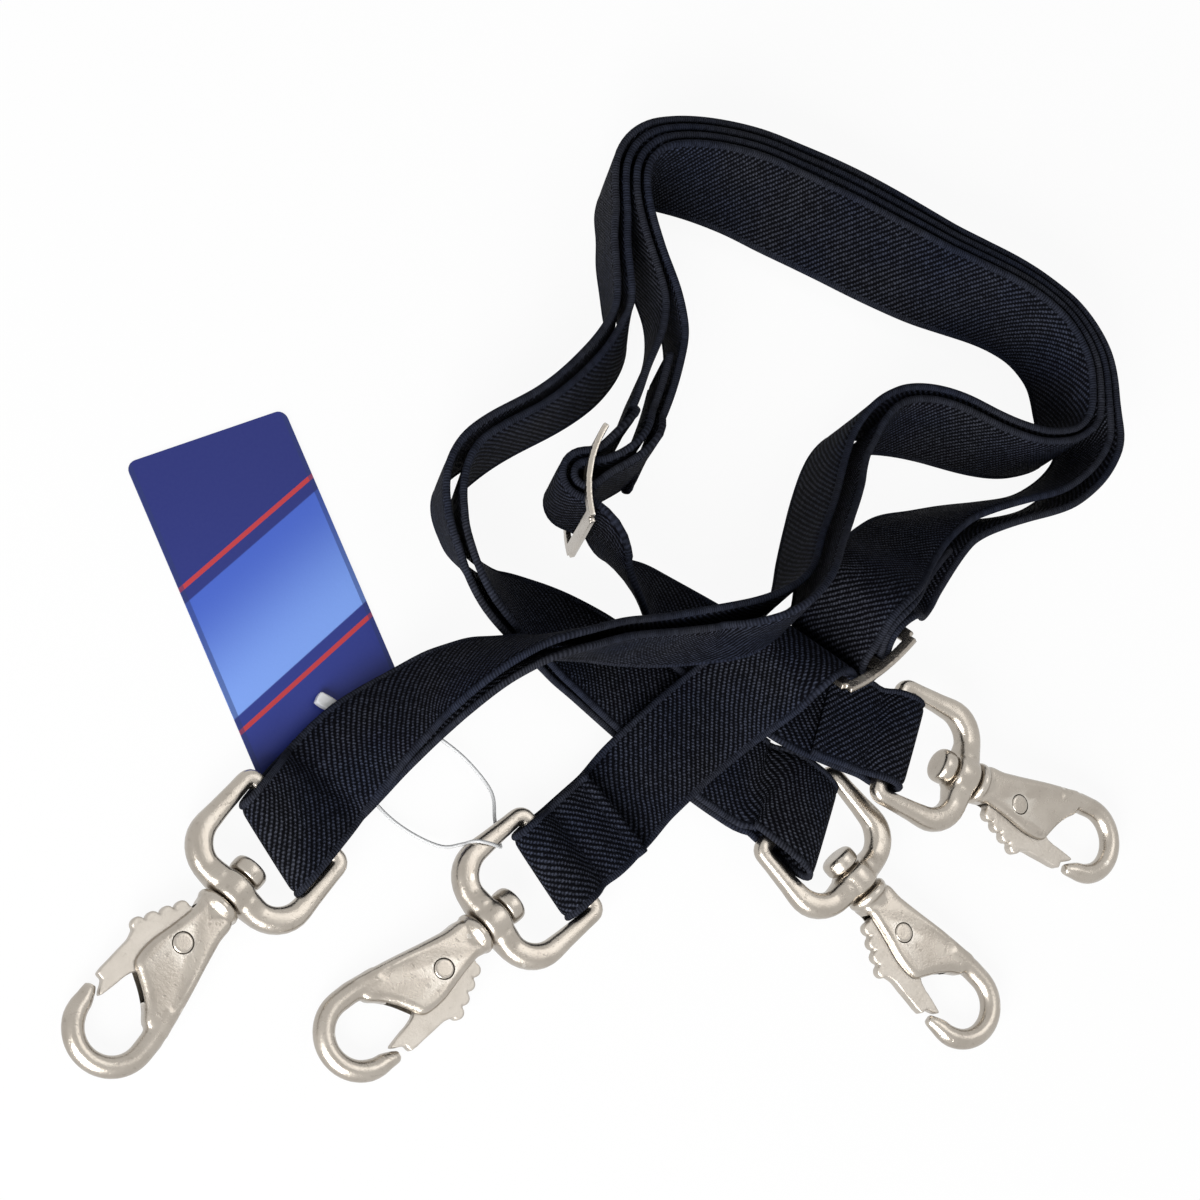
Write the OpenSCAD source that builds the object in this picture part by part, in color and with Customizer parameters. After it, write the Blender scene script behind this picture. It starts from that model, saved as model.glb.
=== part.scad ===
// Pair of adjustable elastic straps with swivel trigger snaps, lying as one tangle on a table.
// All sizes in millimetres, Z up, table at Z = 0.

/* [Webbing] */
// width of the webbing
webbing_w = 25; // [20:0.5:30]
// thickness of the webbing
webbing_t = 2; // [1.4:0.1:2.4]
// pitch of webbing layers that lie on each other
layer_pitch = 2.8; // [2.4:0.1:3.5]
// clearance between webbing and the metal it turns round
turn_gap = 0.35; // [0.2:0.05:0.8]
// length of the folded and sewn end at a snap
hem_len = 19.5; // [17:0.5:30]

/* [Snap] */
// diameter of the eye wire
wire_d = 4.2; // [3:0.1:5]
// room beside the webbing in the eye
eye_room = 1; // [0.5:0.25:3]
// strap bar centre to front bar centre of the eye
eye_len = 23.5; // [20:0.5:30]
// radius of the eye's front corners at the wire centre
eye_r = 8; // [5:0.5:10]
// diameter of the swivel boss
boss_d = 11; // [9:0.5:13]
// diameter of the swivel stem
stem_d = 5.6; // [4:0.1:6.5]
// radial clearance of the swivel stem
stem_gap = 0.05; // [0.02:0.01:0.1]
// diameter of the riveted head inside the eye
head_d = 9; // [7:0.5:10]
// diameter of the collar below the boss
collar_d = 11; // [9:0.5:13]
// thickness of the hook body
body_t = 7.4; // [6.6:0.1:8]
// diameter of the bow bar
bow_d = 5.4; // [4.8:0.1:6]
// bow radius at the bar centre
bow_r = 9; // [8.5:0.25:10]
// thickness of the gate plate
gate_t = 3.2; // [2.6:0.1:3.8]
// side clearance of the gate in its slot
gate_gap = 0.35; // [0.2:0.05:0.6]
// diameter of the gate pin
pin_d = 4.4; // [3.6:0.1:5]
// radial clearance of the gate pin
pin_gap = 0.05; // [0.02:0.01:0.1]

/* [Slider] */
// length of the slider along the strap
slider_l = 27; // [25:0.5:32]
// room beside the webbing in the slider's slots
slot_room = 1.5; // [0.5:0.25:3]
// width of the slider's side rails
slider_rail = 2.75; // [2:0.25:4]
// thickness of the slider plate
slider_t = 1.5; // [1:0.1:2]
// width of the centre bar
slider_bar = 4; // [3:0.25:5]
// width of the end bars
slider_end = 3.5; // [2.5:0.25:4]
// how far the centre bar is bowed out of the end bars' plane
slider_bow = 3; // [2:0.25:4]

/* [Hang tag] */
// length of the card
tag_l = 90; // [70:1:110]
// width of the card
tag_w = 44; // [36:1:50]
// thickness of the card
tag_t = 0.4; // [0.3:0.05:0.6]
// diameter of the loop fastener
loop_d = 0.9; // [0.7:0.1:1.2]

/* [Hidden] */
$fn = 40;
// shift that puts the origin under the middle of the whole part
centre = [1.72, 2.06, 0];
w2 = webbing_w / 2;
t2 = webbing_t / 2;
// mid radius of a strap round the eye's bar
turn_r = wire_d / 2 + turn_gap + t2;
arm_y = (webbing_w + eye_room + wire_d) / 2;
boss_x0 = eye_len - 3.5;
boss_x1 = eye_len + 3.5;
pivot = [eye_len + 18, -1];
bow_x = eye_len + 43;

// Snap places: bar centre, heading and downward pitch of the axis
snap_a = [[-85.8, -59.8, 7.1], -132.5, 3];
snap_b = [[-18.2, -68.5, 7.1], -141.5, 3];
snap_c = [[47.9, -53.9, 7.1], -46.5, 3];
snap_d = [[72.3, -36.3, 15.1], -20, 8.8];

// Vector helpers
function unit(v) = v / norm(v);
function left_of(h) = [-sin(h), cos(h), 0];
function snap_x(s) = [cos(s[1]) * cos(s[2]), sin(s[1]) * cos(s[2]), -sin(s[2])];
function snap_y(s) = left_of(s[1]);
function snap_z(s) = cross(snap_x(s), snap_y(s));
function in_snap(s, p) = s[0] + p[0] * snap_x(s) + p[1] * snap_y(s) + p[2] * snap_z(s);
function flip(list) = [for (i = [len(list) - 1:-1:0]) list[i]];
function join(lists) = [for (l = lists) each l];

// Sliders: centre, run direction, width direction, over direction
one_x = [cos(78), sin(78), 0];
one_u = cos(14) * [0, 0, 1] + sin(14) * left_of(78);
slider_1 = [[-8.8, 23.2, 16.6], one_x, one_u, cross(one_x, one_u)];
two_x = [cos(35), sin(35), 0];
two_u = sin(38) * [0, 0, 1] - cos(38) * left_of(35);
slider_2 = [[54.4, -11, 23.6], two_x, two_u, cross(two_u, two_x)];
function in_slider(s, p) = s[0] + p[0] * s[1] + p[1] * s[3];

// A ring of a strap is [centre, width direction]; stations are [x, y, base, tilt]
function lerp3(a, b, c, d, t) = 0.5 * ((2 * b) + (c - a) * t + (2 * a - 5 * b + 4 * c - d) * t * t
                                       + (3 * b - a - 3 * c + d) * t * t * t);
function at(s, i) = s[max(0, min(len(s) - 1, i))];
function smooth(s, n) = [for (i = [0:len(s) - 2]) for (k = [0:n - 1])
                         lerp3(at(s, i - 1), s[i], s[i + 1], at(s, i + 2), k / n), s[len(s) - 1]];
function heading(s, i) = let (d = at(s, i + 1) - at(s, i - 1)) atan2(d[1], d[0]);
function ring_at(s, i) = [[s[i][0], s[i][1], s[i][2] + w2 * abs(cos(s[i][3])) + t2 * abs(sin(s[i][3]))],
                          cos(s[i][3]) * [0, 0, 1] + sin(s[i][3]) * left_of(heading(s, i))];
function rings(s, n = 2) = let (m = smooth(s, n)) [for (i = [0:len(m) - 1]) ring_at(m, i)];
function run(f, i) = unit(at(f, i + 1)[0] - at(f, i - 1)[0]);
function face(f, i) = unit(cross(run(f, i), f[i][1]));
// a strand that lies d beside another, slid by s along its width
function beside(f, d, s = 0) = [for (i = [0:len(f) - 1]) [f[i][0] + d * face(f, i) + s * f[i][1], f[i][1]]];
function part(f, a, b) = [for (i = [a:b]) f[i]];

// Far side: four strands nested on one another, the inner one given
far_pts = [[10.2, 101.5, 13], [11.1, 106.4, 16], [14.6, 109.5, 21], [22.3, 110.4, 28], [32.4, 109.8, 35],
           [42.7, 108, 42], [51.8, 105.2, 47], [60.7, 102.4, 50], [69.8, 99.2, 51], [79, 95.5, 50],
           [87.6, 91.9, 46], [96.3, 88.3, 40], [106.4, 85, 33], [117, 81.2, 26], [127, 75.3, 19],
           [133.2, 66.6, 13], [134.2, 57.2, 9]];
function drop(tilt) = min(1.1, layer_pitch * sin(tilt));
nested_pts = [for (p = far_pts) [p[0], p[1], 3 * drop(p[2]) + 0.35, p[2]]];
function far(k) = let (f = rings(nested_pts, 3), q = smooth(nested_pts, 3))
    [for (i = [0:len(f) - 1]) let (t = q[i][3], s = (layer_pitch * sin(t) - drop(t)) / cos(t))
     [f[i][0] - k * layer_pitch * face(f, i) + k * s * f[i][1], f[i][1]]];

// Strap one, slider to snap A and back
l4 = [[8.4, 36.6, 3.2, 14], [11.6, 42.6, 2.6, 14], [15, 50.6, 2.2, 14], [18.4, 61.6, 1.8, 14],
      [18.6, 68.6, 1.8, 14], [16.8, 77, 1.8, 13], [13.9, 85.4, 1.8, 13], [11.6, 93.8, 1.8, 13]];
l3 = [[0.6, 38.4, 2.4, 14], [4.4, 45.8, 1.6, 14], [7.8, 53.2, 1.2, 15], [11.6, 60.2, 1, 16],
      [13.6, 66.2, 1, 15], [14, 73.1, 1, 13], [12.2, 80.1, 1, 11], [9.4, 89.6, 1, 11],
      [8.2, 95.4, 1.1, 12]];
r1 = [[133.6, 52.3, 1, 5], [131.2, 48.9, 0.6, 2], [127.2, 46.8, 0.4, -2], [121.4, 45.7, 0.3, -5],
      [113, 46.2, 0.3, -11], [105.4, 48.1, 0.3, -15], [97.4, 50.6, 0.3, -20], [88.4, 52, 0.3, -22],
      [79, 51.6, 0.3, -18], [70.4, 49, 0.3, -5], [63.2, 42, 0.3, 0], [58.2, 32.2, 1, 2],
      [53.4, 21.6, 3.5, 2], [47.8, 10.6, 7, -2], [43.2, 2, 10.6, -5], [37.4, -4, 13.6, -7],
      [28.6, -8.4, 14.2, -7], [19.6, -11, 13.4, -8], [8, -13.4, 13, -8]];
r2 = [[136.9, 51.3, 0.6, 5], [134.8, 47.4, 0.4, -2], [130.4, 44.4, 0.3, -4], [121.3, 42.4, 0.3, -7],
      [112.6, 43.1, 0.3, -11], [104.6, 45, 0.3, -15], [96.8, 47.4, 0.3, -20], [88.4, 48.8, 0.3, -22],
      [80, 48.2, 0.3, -18], [74, 45.2, 0.3, -8], [69.4, 40.6, 0.3, 0], [65.4, 35.2, 0.6, 2],
      [61, 26, 3.5, 2], [54.6, 15, 9.5, 0], [49, 5.2, 14.6, -4], [42.8, -4.4, 20.2, -8],
      [34.4, -12.2, 22.9, -9], [26.4, -15.6, 20, -8], [18.4, -16.8, 14.8, -9], [8, -17.9, 13, -8]];
pair_a = [[-2.5, -18.6, 13.4, -5], [-14, -19.6, 15.8, 1], [-27, -22.2, 19, 10], [-34, -23.8, 17.4, 16],
          [-41, -25.9, 14.6, 23], [-48, -28.9, 9.6, 30], [-55, -32.9, 4.8, 39], [-67.4, -41.6, 2, 60],
          [-77, -50.6, 1.4, 81]];
// Strap two, snap C to slider
pair_c = [[38.8, -47.4, 3.8, 90], [29, -41.3, 3.7, 90], [18.2, -33.4, 3.7, 90], [7.6, -25.4, 3.7, 87],
          [-3, -17.8, 3.7, 82], [-11, -13.4, 3.7, 75], [-18.4, -9.8, 3.5, 65], [-26, -6.6, 3.2, 54],
          [-33, -2.8, 2.7, 40], [-37.8, 2.2, 2.2, 30], [-41.6, 8.6, 1.3, 20]];
l2 = [[-42.8, 13, 0.6, 16], [-43.2, 17, 0.4, 15], [-42.7, 21.8, 0.4, 15], [-40.6, 26.9, 0.4, 16],
      [-37.2, 30.6, 0.4, 17], [-30.6, 35.2, 0.4, 15], [-22.8, 39.8, 0.4, 14], [-15.4, 44.5, 0.4, 17],
      [-8.4, 49.7, 0.4, 21], [-2.2, 55.3, 0.4, 24], [2.6, 61.4, 0.4, 25], [5.2, 67, 0.4, 24],
      [5.8, 72.6, 0.5, 18], [5.2, 78.6, 0.6, 15], [4.6, 87.2, 0.6, 14], [4.9, 94.4, 0.6, 13]];
l1 = [[-46.4, 12, 0.4, 18], [-47.6, 18, 0.3, 15], [-46.9, 24.6, 0.3, 14], [-43, 30.7, 0.3, 15],
      [-37.2, 35.1, 0.3, 16], [-32, 38.4, 0.3, 15], [-24.3, 43, 0.3, 14], [-17, 47.7, 0.3, 17],
      [-10.3, 52.8, 0.3, 21], [-4.4, 58.1, 0.3, 24], [-0.1, 63.4, 0.3, 25], [1.7, 68.2, 0.3, 23],
      [2, 73.1, 0.3, 18], [1.8, 80.7, 0.3, 16], [1.4, 88.6, 0.3, 15], [2.1, 94.9, 0.2, 14]];
r3 = [[140.2, 51.2, 0.4, 7], [139.6, 45.8, 0.3, 6], [133.8, 38.8, 0.3, 8], [124.4, 32.8, 0.3, 10],
      [113.6, 29.9, 0.3, 12], [103.2, 27.4, 0.4, 16], [93, 24.2, 0.8, 22], [83, 19.6, 4.4, 35],
      [73, 11.8, 11.4, 47], [66.6, 6.2, 18.6, 50]];
r4 = [[143.1, 51.1, 0.3, 7], [143, 45, 0.3, 6], [137.2, 36.4, 0.3, 8], [126.8, 28.8, 0.3, 10],
      [114.8, 25.2, 0.3, 12], [104.6, 22.8, 0.3, 17], [94.2, 18.8, 0.3, 22], [85, 11.8, 2, 35],
      [76.8, 4.6, 5.6, 50], [71.2, 1.2, 11.8, 53]];
// Sewn single strands
strand_d = [[-3.4, 8.9, 2, -12], [0.8, 3.5, 1, -26], [5.6, 0.3, 0.6, -44], [11, -2.6, 0.6, -63],
            [16.4, -5.4, 0.7, -72], [24, -9.6, 1.4, -78], [31.5, -14.2, 2.9, -81], [39, -19.4, 5, -84],
            [47, -25.8, 7.8, -87]];
strand_b = [[4.2, -48.2, 6, -90], [13.6, -39.6, 8.4, -90], [21.6, -33.2, 9, -88],
            [28.4, -27.8, 10.4, -80], [34.4, -23.6, 13.4, -66]];

// Strap frames at the bars: the same bar, with the strap's own slope
end_a = [snap_a[0], snap_a[1] + 1.2, 0];
end_b = [snap_b[0], snap_b[1] + 0.8, 0];
end_c = [snap_c[0], snap_c[1] + 1, -17];
end_d = [snap_d[0], snap_d[1] - 1.2, -7.8];

// Bar turns in a snap frame, [along axis, up]; slack is the loop's reach past the bar
function arc(r, a, b, n) = [for (i = [0:n]) let (g = a + (b - a) * i / n) [r * cos(g), r * sin(g)]];
function loop_end(slack, a, b) = [for (p = arc(turn_r, a, b, 10)) p + [slack, 0]];
function open_turn(slack) = join([[[-8, -2.5], [-5, -3.1], [-2, -turn_r]], loop_end(slack, -90, 90),
                                  [[-2, turn_r], [-5, 3.1], [-8, 2.5]]]);
lay = layer_pitch / 2;
hem_pinch = t2 + 0.17;
half_hem = [[-hem_len, lay], [-15.5, lay], [-11, lay + 0.2], [-7.8, lay], [-5.6, hem_pinch], [-4.2, 1.5],
            [-1.2, turn_r - 0.05]];
function sewn_turn(slack) = join([half_hem, loop_end(slack, 90, -90),
                                  flip([for (p = half_hem) [p[0], -p[1]]])]);
// skew: how much farther one edge of the loop reaches than its middle
function turn(s, pts, side, skew) = [for (p = pts)
    [in_snap(s, [p[0], 0, p[1]]), side * snap_y(s),
     skew * max(0, min(1, (p[0] + 7) / 12)) * snap_x(s)]];

// Slider threading in a slider frame, [along run, over]
loop_r = norm([slider_bar / 2, slider_t / 2]) + turn_gap + t2;
wrap_r = loop_r + layer_pitch;
bar_z = -slider_bow;
end_x = slider_l / 2 - slider_end;
edge_r = t2 + turn_gap;
function about(c, r, a, b, n) = [for (p = arc(r, a, b, n)) c + p];
wrap_turn = about([0, bar_z], wrap_r, 175, 365, 10);
function threaded(s, into, out) = [for (p = join([into, wrap_turn, out])) [in_slider(s, p), s[2]]];
one_in = [[-9, 3.7], [-7.3, 0.7]];
two_in = join([[[-end_x - 6, slider_t / 2 + edge_r + 0.3], [-end_x - 2.5, slider_t / 2 + edge_r + 0.4]],
               about([-end_x, slider_t / 2], edge_r, 90, 20, 3)]);
// sewn loop: comes down over the centre bar, round it, and leaves as the tail
loop_turn = about([0, bar_z], loop_r, 110, 360, 12);
function sewn_loop(s, main, tail) = [for (p = join([main, loop_turn, tail])) [in_slider(s, p), s[2]]];

far_0 = far(0);
pair_gap = layer_pitch + 0.2;
pair_a0 = rings(pair_a, 3);
pair_c0 = rings(pair_c, 3);
one_out = rings(l3);
one_back = rings(l4);
two_back = rings(r3, 3);
tail_one = beside(part(one_back, 1, 5), -pair_gap);
tail_two = beside(part(two_back, len(two_back) - 7, len(two_back) - 1), -pair_gap - 0.4);

strap_1 = join([
    turn(end_d, sewn_turn(2.3), -1, 0),
    flip(rings(strand_d)),
    threaded(slider_1, one_in, [[7.2, -1.1], [9.5, 0.8], [12.6, 2.9]]),
    one_out, far(1), rings(r2), pair_a0,
    turn(end_a, open_turn(6.6), 1, 3.7),
    flip(part(beside(pair_a0, pair_gap + 0.8), 1, len(pair_a0) - 1)),
    flip(rings(r1)), flip(far_0), flip(one_back),
    sewn_loop(slider_1, [[10, 11.4], [6, 7.8], [2.2, 3.4]], [[4, -0.6], [6, 3.1], [9.6, 7.2]]),
    tail_one]);
strap_2 = join([
    turn(end_b, sewn_turn(2.8), 1, 1.2),
    rings(strand_b),
    threaded(slider_2, two_in, [[7, -1], [8.8, 1.2], [11, 2.3], [14.5, 2.4]]),
    flip(join([beside(pair_c0, -pair_gap - 0.4), rings(l1), far(3), rings(r4)])),
    turn(end_c, open_turn(5.5), -1, 5),
    pair_c0, rings(l2), far(2), two_back,
    sewn_loop(slider_2, [[12.5, 9.6], [8.5, 8.8], [5, 6.2], [1.8, 2.6]],
              [[4, -0.6], [5.8, 3], [8.6, 5.1], [12.2, 5.9]]),
    flip(tail_two)]);

// Swept ribbon
function lean(ring) = len(ring) > 2 ? ring[2] : [0, 0, 0];
function corner(f, i, a, b) = let (n = face(f, i), u = unit(cross(n, run(f, i))))
    f[i][0] + a * (w2 * u + lean(f[i])) + b * t2 * n;
module ribbon(f) {
    n = len(f);
    m = 4 * n;
    pts = [for (i = [0:n - 1]) for (c = [[-1, -1], [1, -1], [1, 1], [-1, 1]]) corner(f, i, c[0], c[1])];
    sides = [for (i = [0:n - 2]) for (k = [0:3]) let (a = 4 * i + k, b = 4 * i + (k + 1) % 4)
             [a, a + 4, b + 4, b]];
    translate(-centre) polyhedron(pts, join([[[0, 1, 2, 3]], sides, [[m - 1, m - 2, m - 3, m - 4]]]), 6);
}
// Round cord along points
module cord(p, d, sides = 8) {
    n = len(p);
    tan = [for (i = [0:n - 1]) unit(at(p, i + 1) - at(p, i - 1))];
    ref = [for (i = [0:n - 1]) unit(cross(tan[i], [0.21, 0.13, 0.97]))];
    pts = [for (i = [0:n - 1]) for (k = [0:sides - 1]) let (g = 360 * k / sides)
           p[i] + d / 2 * (cos(g) * ref[i] + sin(g) * cross(tan[i], ref[i]))];
    skin = [for (i = [0:n - 2]) for (k = [0:sides - 1])
            let (a = sides * i + k, b = sides * i + (k + 1) % sides) [a, a + sides, b + sides, b]];
    translate(-centre) polyhedron(pts, join([[[for (k = [0:sides - 1]) k]], skin,
        [[for (k = [sides - 1:-1:0]) sides * (n - 1) + k]]]), 4);
}

// Placing
module at_snap(s, over = false) {
    translate(s[0] - centre) rotate([0, s[2], s[1]]) rotate([over ? 180 : 0, 0, 0]) children();
}
module at_slider(s) {
    y = cross(s[3], s[1]);
    translate(s[0] - centre)
        multmatrix([for (k = [0:2]) [s[1][k], y[k], s[3][k], 0]]) children();
}

// Snap pieces, bar centre at the origin and bow toward +X
module eye() {
    color([0.72, 0.69, 0.64]) difference() {
        union() {
            translate([0, -arm_y - wire_d / 2, 0]) rotate([-90, 0, 0])
                cylinder(d = wire_d, h = 2 * arm_y + wire_d);
            for (y = [-arm_y, arm_y])
                translate([0, y, 0]) rotate([0, 90, 0]) cylinder(d = wire_d, h = eye_len - eye_r);
            for (m = [0, 1]) mirror([0, m, 0]) translate([eye_len - eye_r, arm_y - eye_r, 0])
                rotate_extrude(angle = 90) translate([eye_r, 0]) circle(d = wire_d);
            translate([eye_len, -arm_y + eye_r, 0]) rotate([-90, 0, 0])
                cylinder(d = wire_d, h = 2 * (arm_y - eye_r));
            translate([boss_x0, 0, 0]) rotate([0, 90, 0]) cylinder(d = boss_d, h = boss_x1 - boss_x0);
        }
        translate([boss_x0 - 1, 0, 0]) rotate([0, 90, 0])
            cylinder(d = stem_d + 2 * stem_gap, h = boss_x1 - boss_x0 + 2);
    }
}
module hook() {
    b0 = boss_x1 + 2.5;
    color([0.72, 0.69, 0.64]) difference() {
        union() {
            translate([boss_x0 - 4.6, 0, 0]) rotate([0, 90, 0]) cylinder(d = head_d, h = 4.2);
            translate([boss_x0 - 1, 0, 0]) rotate([0, 90, 0]) cylinder(d = stem_d, h = boss_x1 - boss_x0 + 2);
            translate([boss_x1 + 0.4, 0, 0]) rotate([0, 90, 0]) cylinder(d = collar_d, h = 2.6);
            translate([0, 0, -body_t / 2]) linear_extrude(body_t) polygon([
                [b0, -4.6], [b0 + 5.5, -5.2], [b0 + 11, -6], [b0 + 16, -7], [b0 + 20.5, -7], [b0 + 23, -6.2],
                [b0 + 24.5, -3.8], [b0 + 26.5, -0.5], [b0 + 29, 2.6], [b0 + 31, bow_r - 4.4],
                [b0 + 31, bow_r + 2.1], [b0 + 24, bow_r + 0.8], [b0 + 12, 7.1], [b0, 4.7]]);
            translate([b0 + 28, bow_r, 0]) rotate([0, 90, 0]) cylinder(d = bow_d, h = bow_x - b0 - 28);
            translate([bow_x, 0, 0]) rotate([0, 0, -90]) rotate_extrude(angle = 180)
                translate([bow_r, 0]) circle(d = bow_d);
            translate([bow_x, -bow_r, 0]) rotate([0, -90, 14]) cylinder(d1 = bow_d, d2 = 2.6, h = 4.6);
        }
        translate([pivot[0] - 9.5, -15, -gate_t / 2 - gate_gap]) cube([25.5, 19, gate_t + 2 * gate_gap]);
        translate([pivot[0], pivot[1], -body_t]) cylinder(d = pin_d + 2 * pin_gap, h = 2 * body_t);
    }
}
module gate() {
    x = pivot[0];
    color([0.66, 0.63, 0.58]) translate([0, 0, -gate_t / 2]) linear_extrude(gate_t) difference() {
        union() {
            polygon([[x - 4.2, 1.6], [x - 8.4, -4.2], [x - 6, -6.4], [x + 4, -11.4], [x + 8.5, -10.8],
                     [x + 18.4, -11], [x + 18.4, -8.7], [x + 21.4, -7.7], [x + 22, -6.8], [x + 13, -5.2],
                     [x + 8.5, -2], [x + 3.5, 2.2], [x, 3]]);
            for (i = [0:3]) translate([x - 6.6 + 3.3 * i, -6.2 - 1.7 * i]) circle(r = 1.9);
        }
        translate([x, pivot[1]]) circle(d = pin_d + 2 * pin_gap);
    }
}
module pin() {
    color([0.75, 0.72, 0.67]) translate([pivot[0], pivot[1], 0]) {
        translate([0, 0, -body_t / 2 - 0.05]) cylinder(d = pin_d, h = body_t + 0.1);
        for (m = [0, 1]) mirror([0, 0, m]) translate([0, 0, body_t / 2 + 0.04])
            cylinder(d1 = pin_d + 1.2, d2 = pin_d, h = 0.6);
    }
}
module spring() {
    x = pivot[0];
    color([0.5, 0.5, 0.5]) translate([0, 0, -1.2]) linear_extrude(2.4)
        polygon([[x + 10, 3.8], [x + 4.4, 3.8], [x + 4.2, 3.3], [x + 9, -1.5], [x + 9.4, -1.3],
                 [x + 5, 3.35], [x + 10, 3.4]]);
}
module eye_a() { at_snap(snap_a) eye(); }
module hook_a() { at_snap(snap_a) hook(); }
module gate_a() { at_snap(snap_a) gate(); }
module pin_a() { at_snap(snap_a) pin(); }
module spring_a() { at_snap(snap_a) spring(); }
module eye_b() { at_snap(snap_b) eye(); }
module hook_b() { at_snap(snap_b, true) hook(); }
module gate_b() { at_snap(snap_b, true) gate(); }
module pin_b() { at_snap(snap_b, true) pin(); }
module spring_b() { at_snap(snap_b, true) spring(); }
module eye_c() { at_snap(snap_c) eye(); }
module hook_c() { at_snap(snap_c) hook(); }
module gate_c() { at_snap(snap_c) gate(); }
module pin_c() { at_snap(snap_c) pin(); }
module spring_c() { at_snap(snap_c) spring(); }
module eye_d() { at_snap(snap_d) eye(); }
module hook_d() { at_snap(snap_d) hook(); }
module gate_d() { at_snap(snap_d) gate(); }
module pin_d() { at_snap(snap_d) pin(); }
module spring_d() { at_snap(snap_d) spring(); }

// Slider: bowed plate with two slots
module slider() {
    l2s = slider_l / 2;
    slot_w = webbing_w + slot_room;
    slider_w = slot_w + 2 * slider_rail;
    bow_R = (l2s * l2s + slider_bow * slider_bow) / (2 * slider_bow);
    color([0.7, 0.67, 0.62]) intersection() {
        translate([0, 0, bow_R - slider_bow]) rotate([90, 0, 0]) difference() {
            cylinder(r = bow_R + slider_t / 2, h = slider_w, center = true, $fn = 180);
            cylinder(r = bow_R - slider_t / 2, h = slider_w + 2, center = true, $fn = 180);
        }
        difference() {
            translate([-l2s, -slider_w / 2, -slider_bow - 2]) cube([slider_l, slider_w, slider_bow + 4]);
            for (x = [slider_bar / 2, -end_x])
                translate([x, -slot_w / 2, -20]) cube([end_x - slider_bar / 2, slot_w, 40]);
        }
    }
}
module slider_one() { at_slider(slider_1) slider(); }
module slider_two() { at_slider(slider_2) slider(); }

module strap_one() { color([0.08, 0.085, 0.12]) ribbon(strap_1); }
module strap_two() { color([0.08, 0.085, 0.12]) ribbon(strap_2); }

// Stitch rows: short threads laid across the top layer
stitch_n = 9;
module stitch_row() {
    for (i = [0:stitch_n - 1]) translate([0, (i - (stitch_n - 1) / 2) * (webbing_w - 4) / stitch_n, 0.25])
        cube([0.5, 1.7, 0.4], center = true);
}
module hem_stitches() {
    color([0.1, 0.1, 0.13]) for (p = [[-5.6, hem_pinch], [3 - hem_len, lay]])
        translate([p[0], 0, p[1] + t2 + 0.05]) stitch_row();
}
module on_face(f, i, side, lift = 0.05) {
    n = face(f, i) * side;
    u = f[i][1];
    r = cross(u, n);
    p = f[i][0] + (t2 + lift) * n - centre;
    translate(p) multmatrix([for (k = [0:2]) [r[k], u[k], n[k], 0]]) children();
}
module stitches_b() { at_snap(end_b) hem_stitches(); }
module stitches_d() { at_snap(end_d) hem_stitches(); }
module stitches_one() { color([0.1, 0.1, 0.13]) for (i = [2, 6]) on_face(one_back, i, 1) stitch_row(); }
module stitches_two() {
    m = len(two_back) - 1;
    color([0.1, 0.1, 0.13]) for (i = [5, 8]) on_face(two_back, m - i, 1, 0.35) stitch_row();
}

// Hang tag, its loop and lock
tag_mid = [-85.9, -6.4, 0.02];
tag_turn = -67.5;
lock_at = [-75, -30, 0];
module hang_tag() {
    color([0.05, 0.1, 0.35]) translate(tag_mid - centre) rotate(tag_turn) difference() {
        translate([-tag_l / 2, -tag_w / 2, 0]) cube([tag_l, tag_w, tag_t]);
        translate([tag_l / 2 - 6, 0, -1]) cylinder(d = 3, h = 3);
    }
}
loop_z = tag_t + 0.25 + loop_d / 2;
loop_pts = join([
    [[-72.2, -32, loop_z + 0.6], [-70.5, -36, loop_z + 0.3], [-69, -42, loop_z], [-66, -50, loop_z],
     [-61, -56.5, loop_z + 0.2], [-54.5, -61.5, 2], [-47.5, -64.8, 3.4]],
    [for (p = [[17, -18.5, -0.6], [15, -17.4, 2.4], [13, -15.2, 3.2], [11, -12.9, 2], [9.6, -12, -0.4],
               [8.2, -12.9, -2.6], [6.8, -15.2, -3.4], [5, -18, -3.4]]) in_snap(snap_b, p)],
    [[-33.5, -51, 3], [-38.5, -44, 2.4], [-44.5, -38.8, 1.9], [-51, -35, 1.5], [-58, -32.6, loop_z],
     [-65, -31, loop_z], [-71.6, -30.4, loop_z + 0.6]]]);
module tag_loop() { color([0.9, 0.92, 0.95]) cord(smooth(loop_pts, 2), loop_d); }
module tag_lock() {
    color([0.9, 0.92, 0.95]) translate(lock_at + [0, 0, tag_t + 0.06] - centre) rotate(-28)
        translate([-2.6, -1.6, 0]) cube([5.2, 3.2, 2.2]);
}

strap_one();
strap_two();
slider_one();
slider_two();
eye_a();
hook_a();
gate_a();
pin_a();
spring_a();
eye_b();
hook_b();
gate_b();
pin_b();
spring_b();
eye_c();
hook_c();
gate_c();
pin_c();
spring_c();
eye_d();
hook_d();
gate_d();
pin_d();
spring_d();
stitches_b();
stitches_d();
stitches_one();
stitches_two();
hang_tag();
tag_loop();
tag_lock();
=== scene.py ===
# %% [markdown]
# # Two elastic straps with swivel snaps
# The object is a pair of adjustable elastic straps. Each has a sewn snap at one end, runs through
# a bowed slider, goes round the bar of a second snap and comes back to the slider. They lie as one
# loose tangle on a table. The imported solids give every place, and this lesson dresses them.

# %% Load the frame
import math

import bmesh
import bpy
import numpy as np
from mathutils import Matrix, Vector


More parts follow.
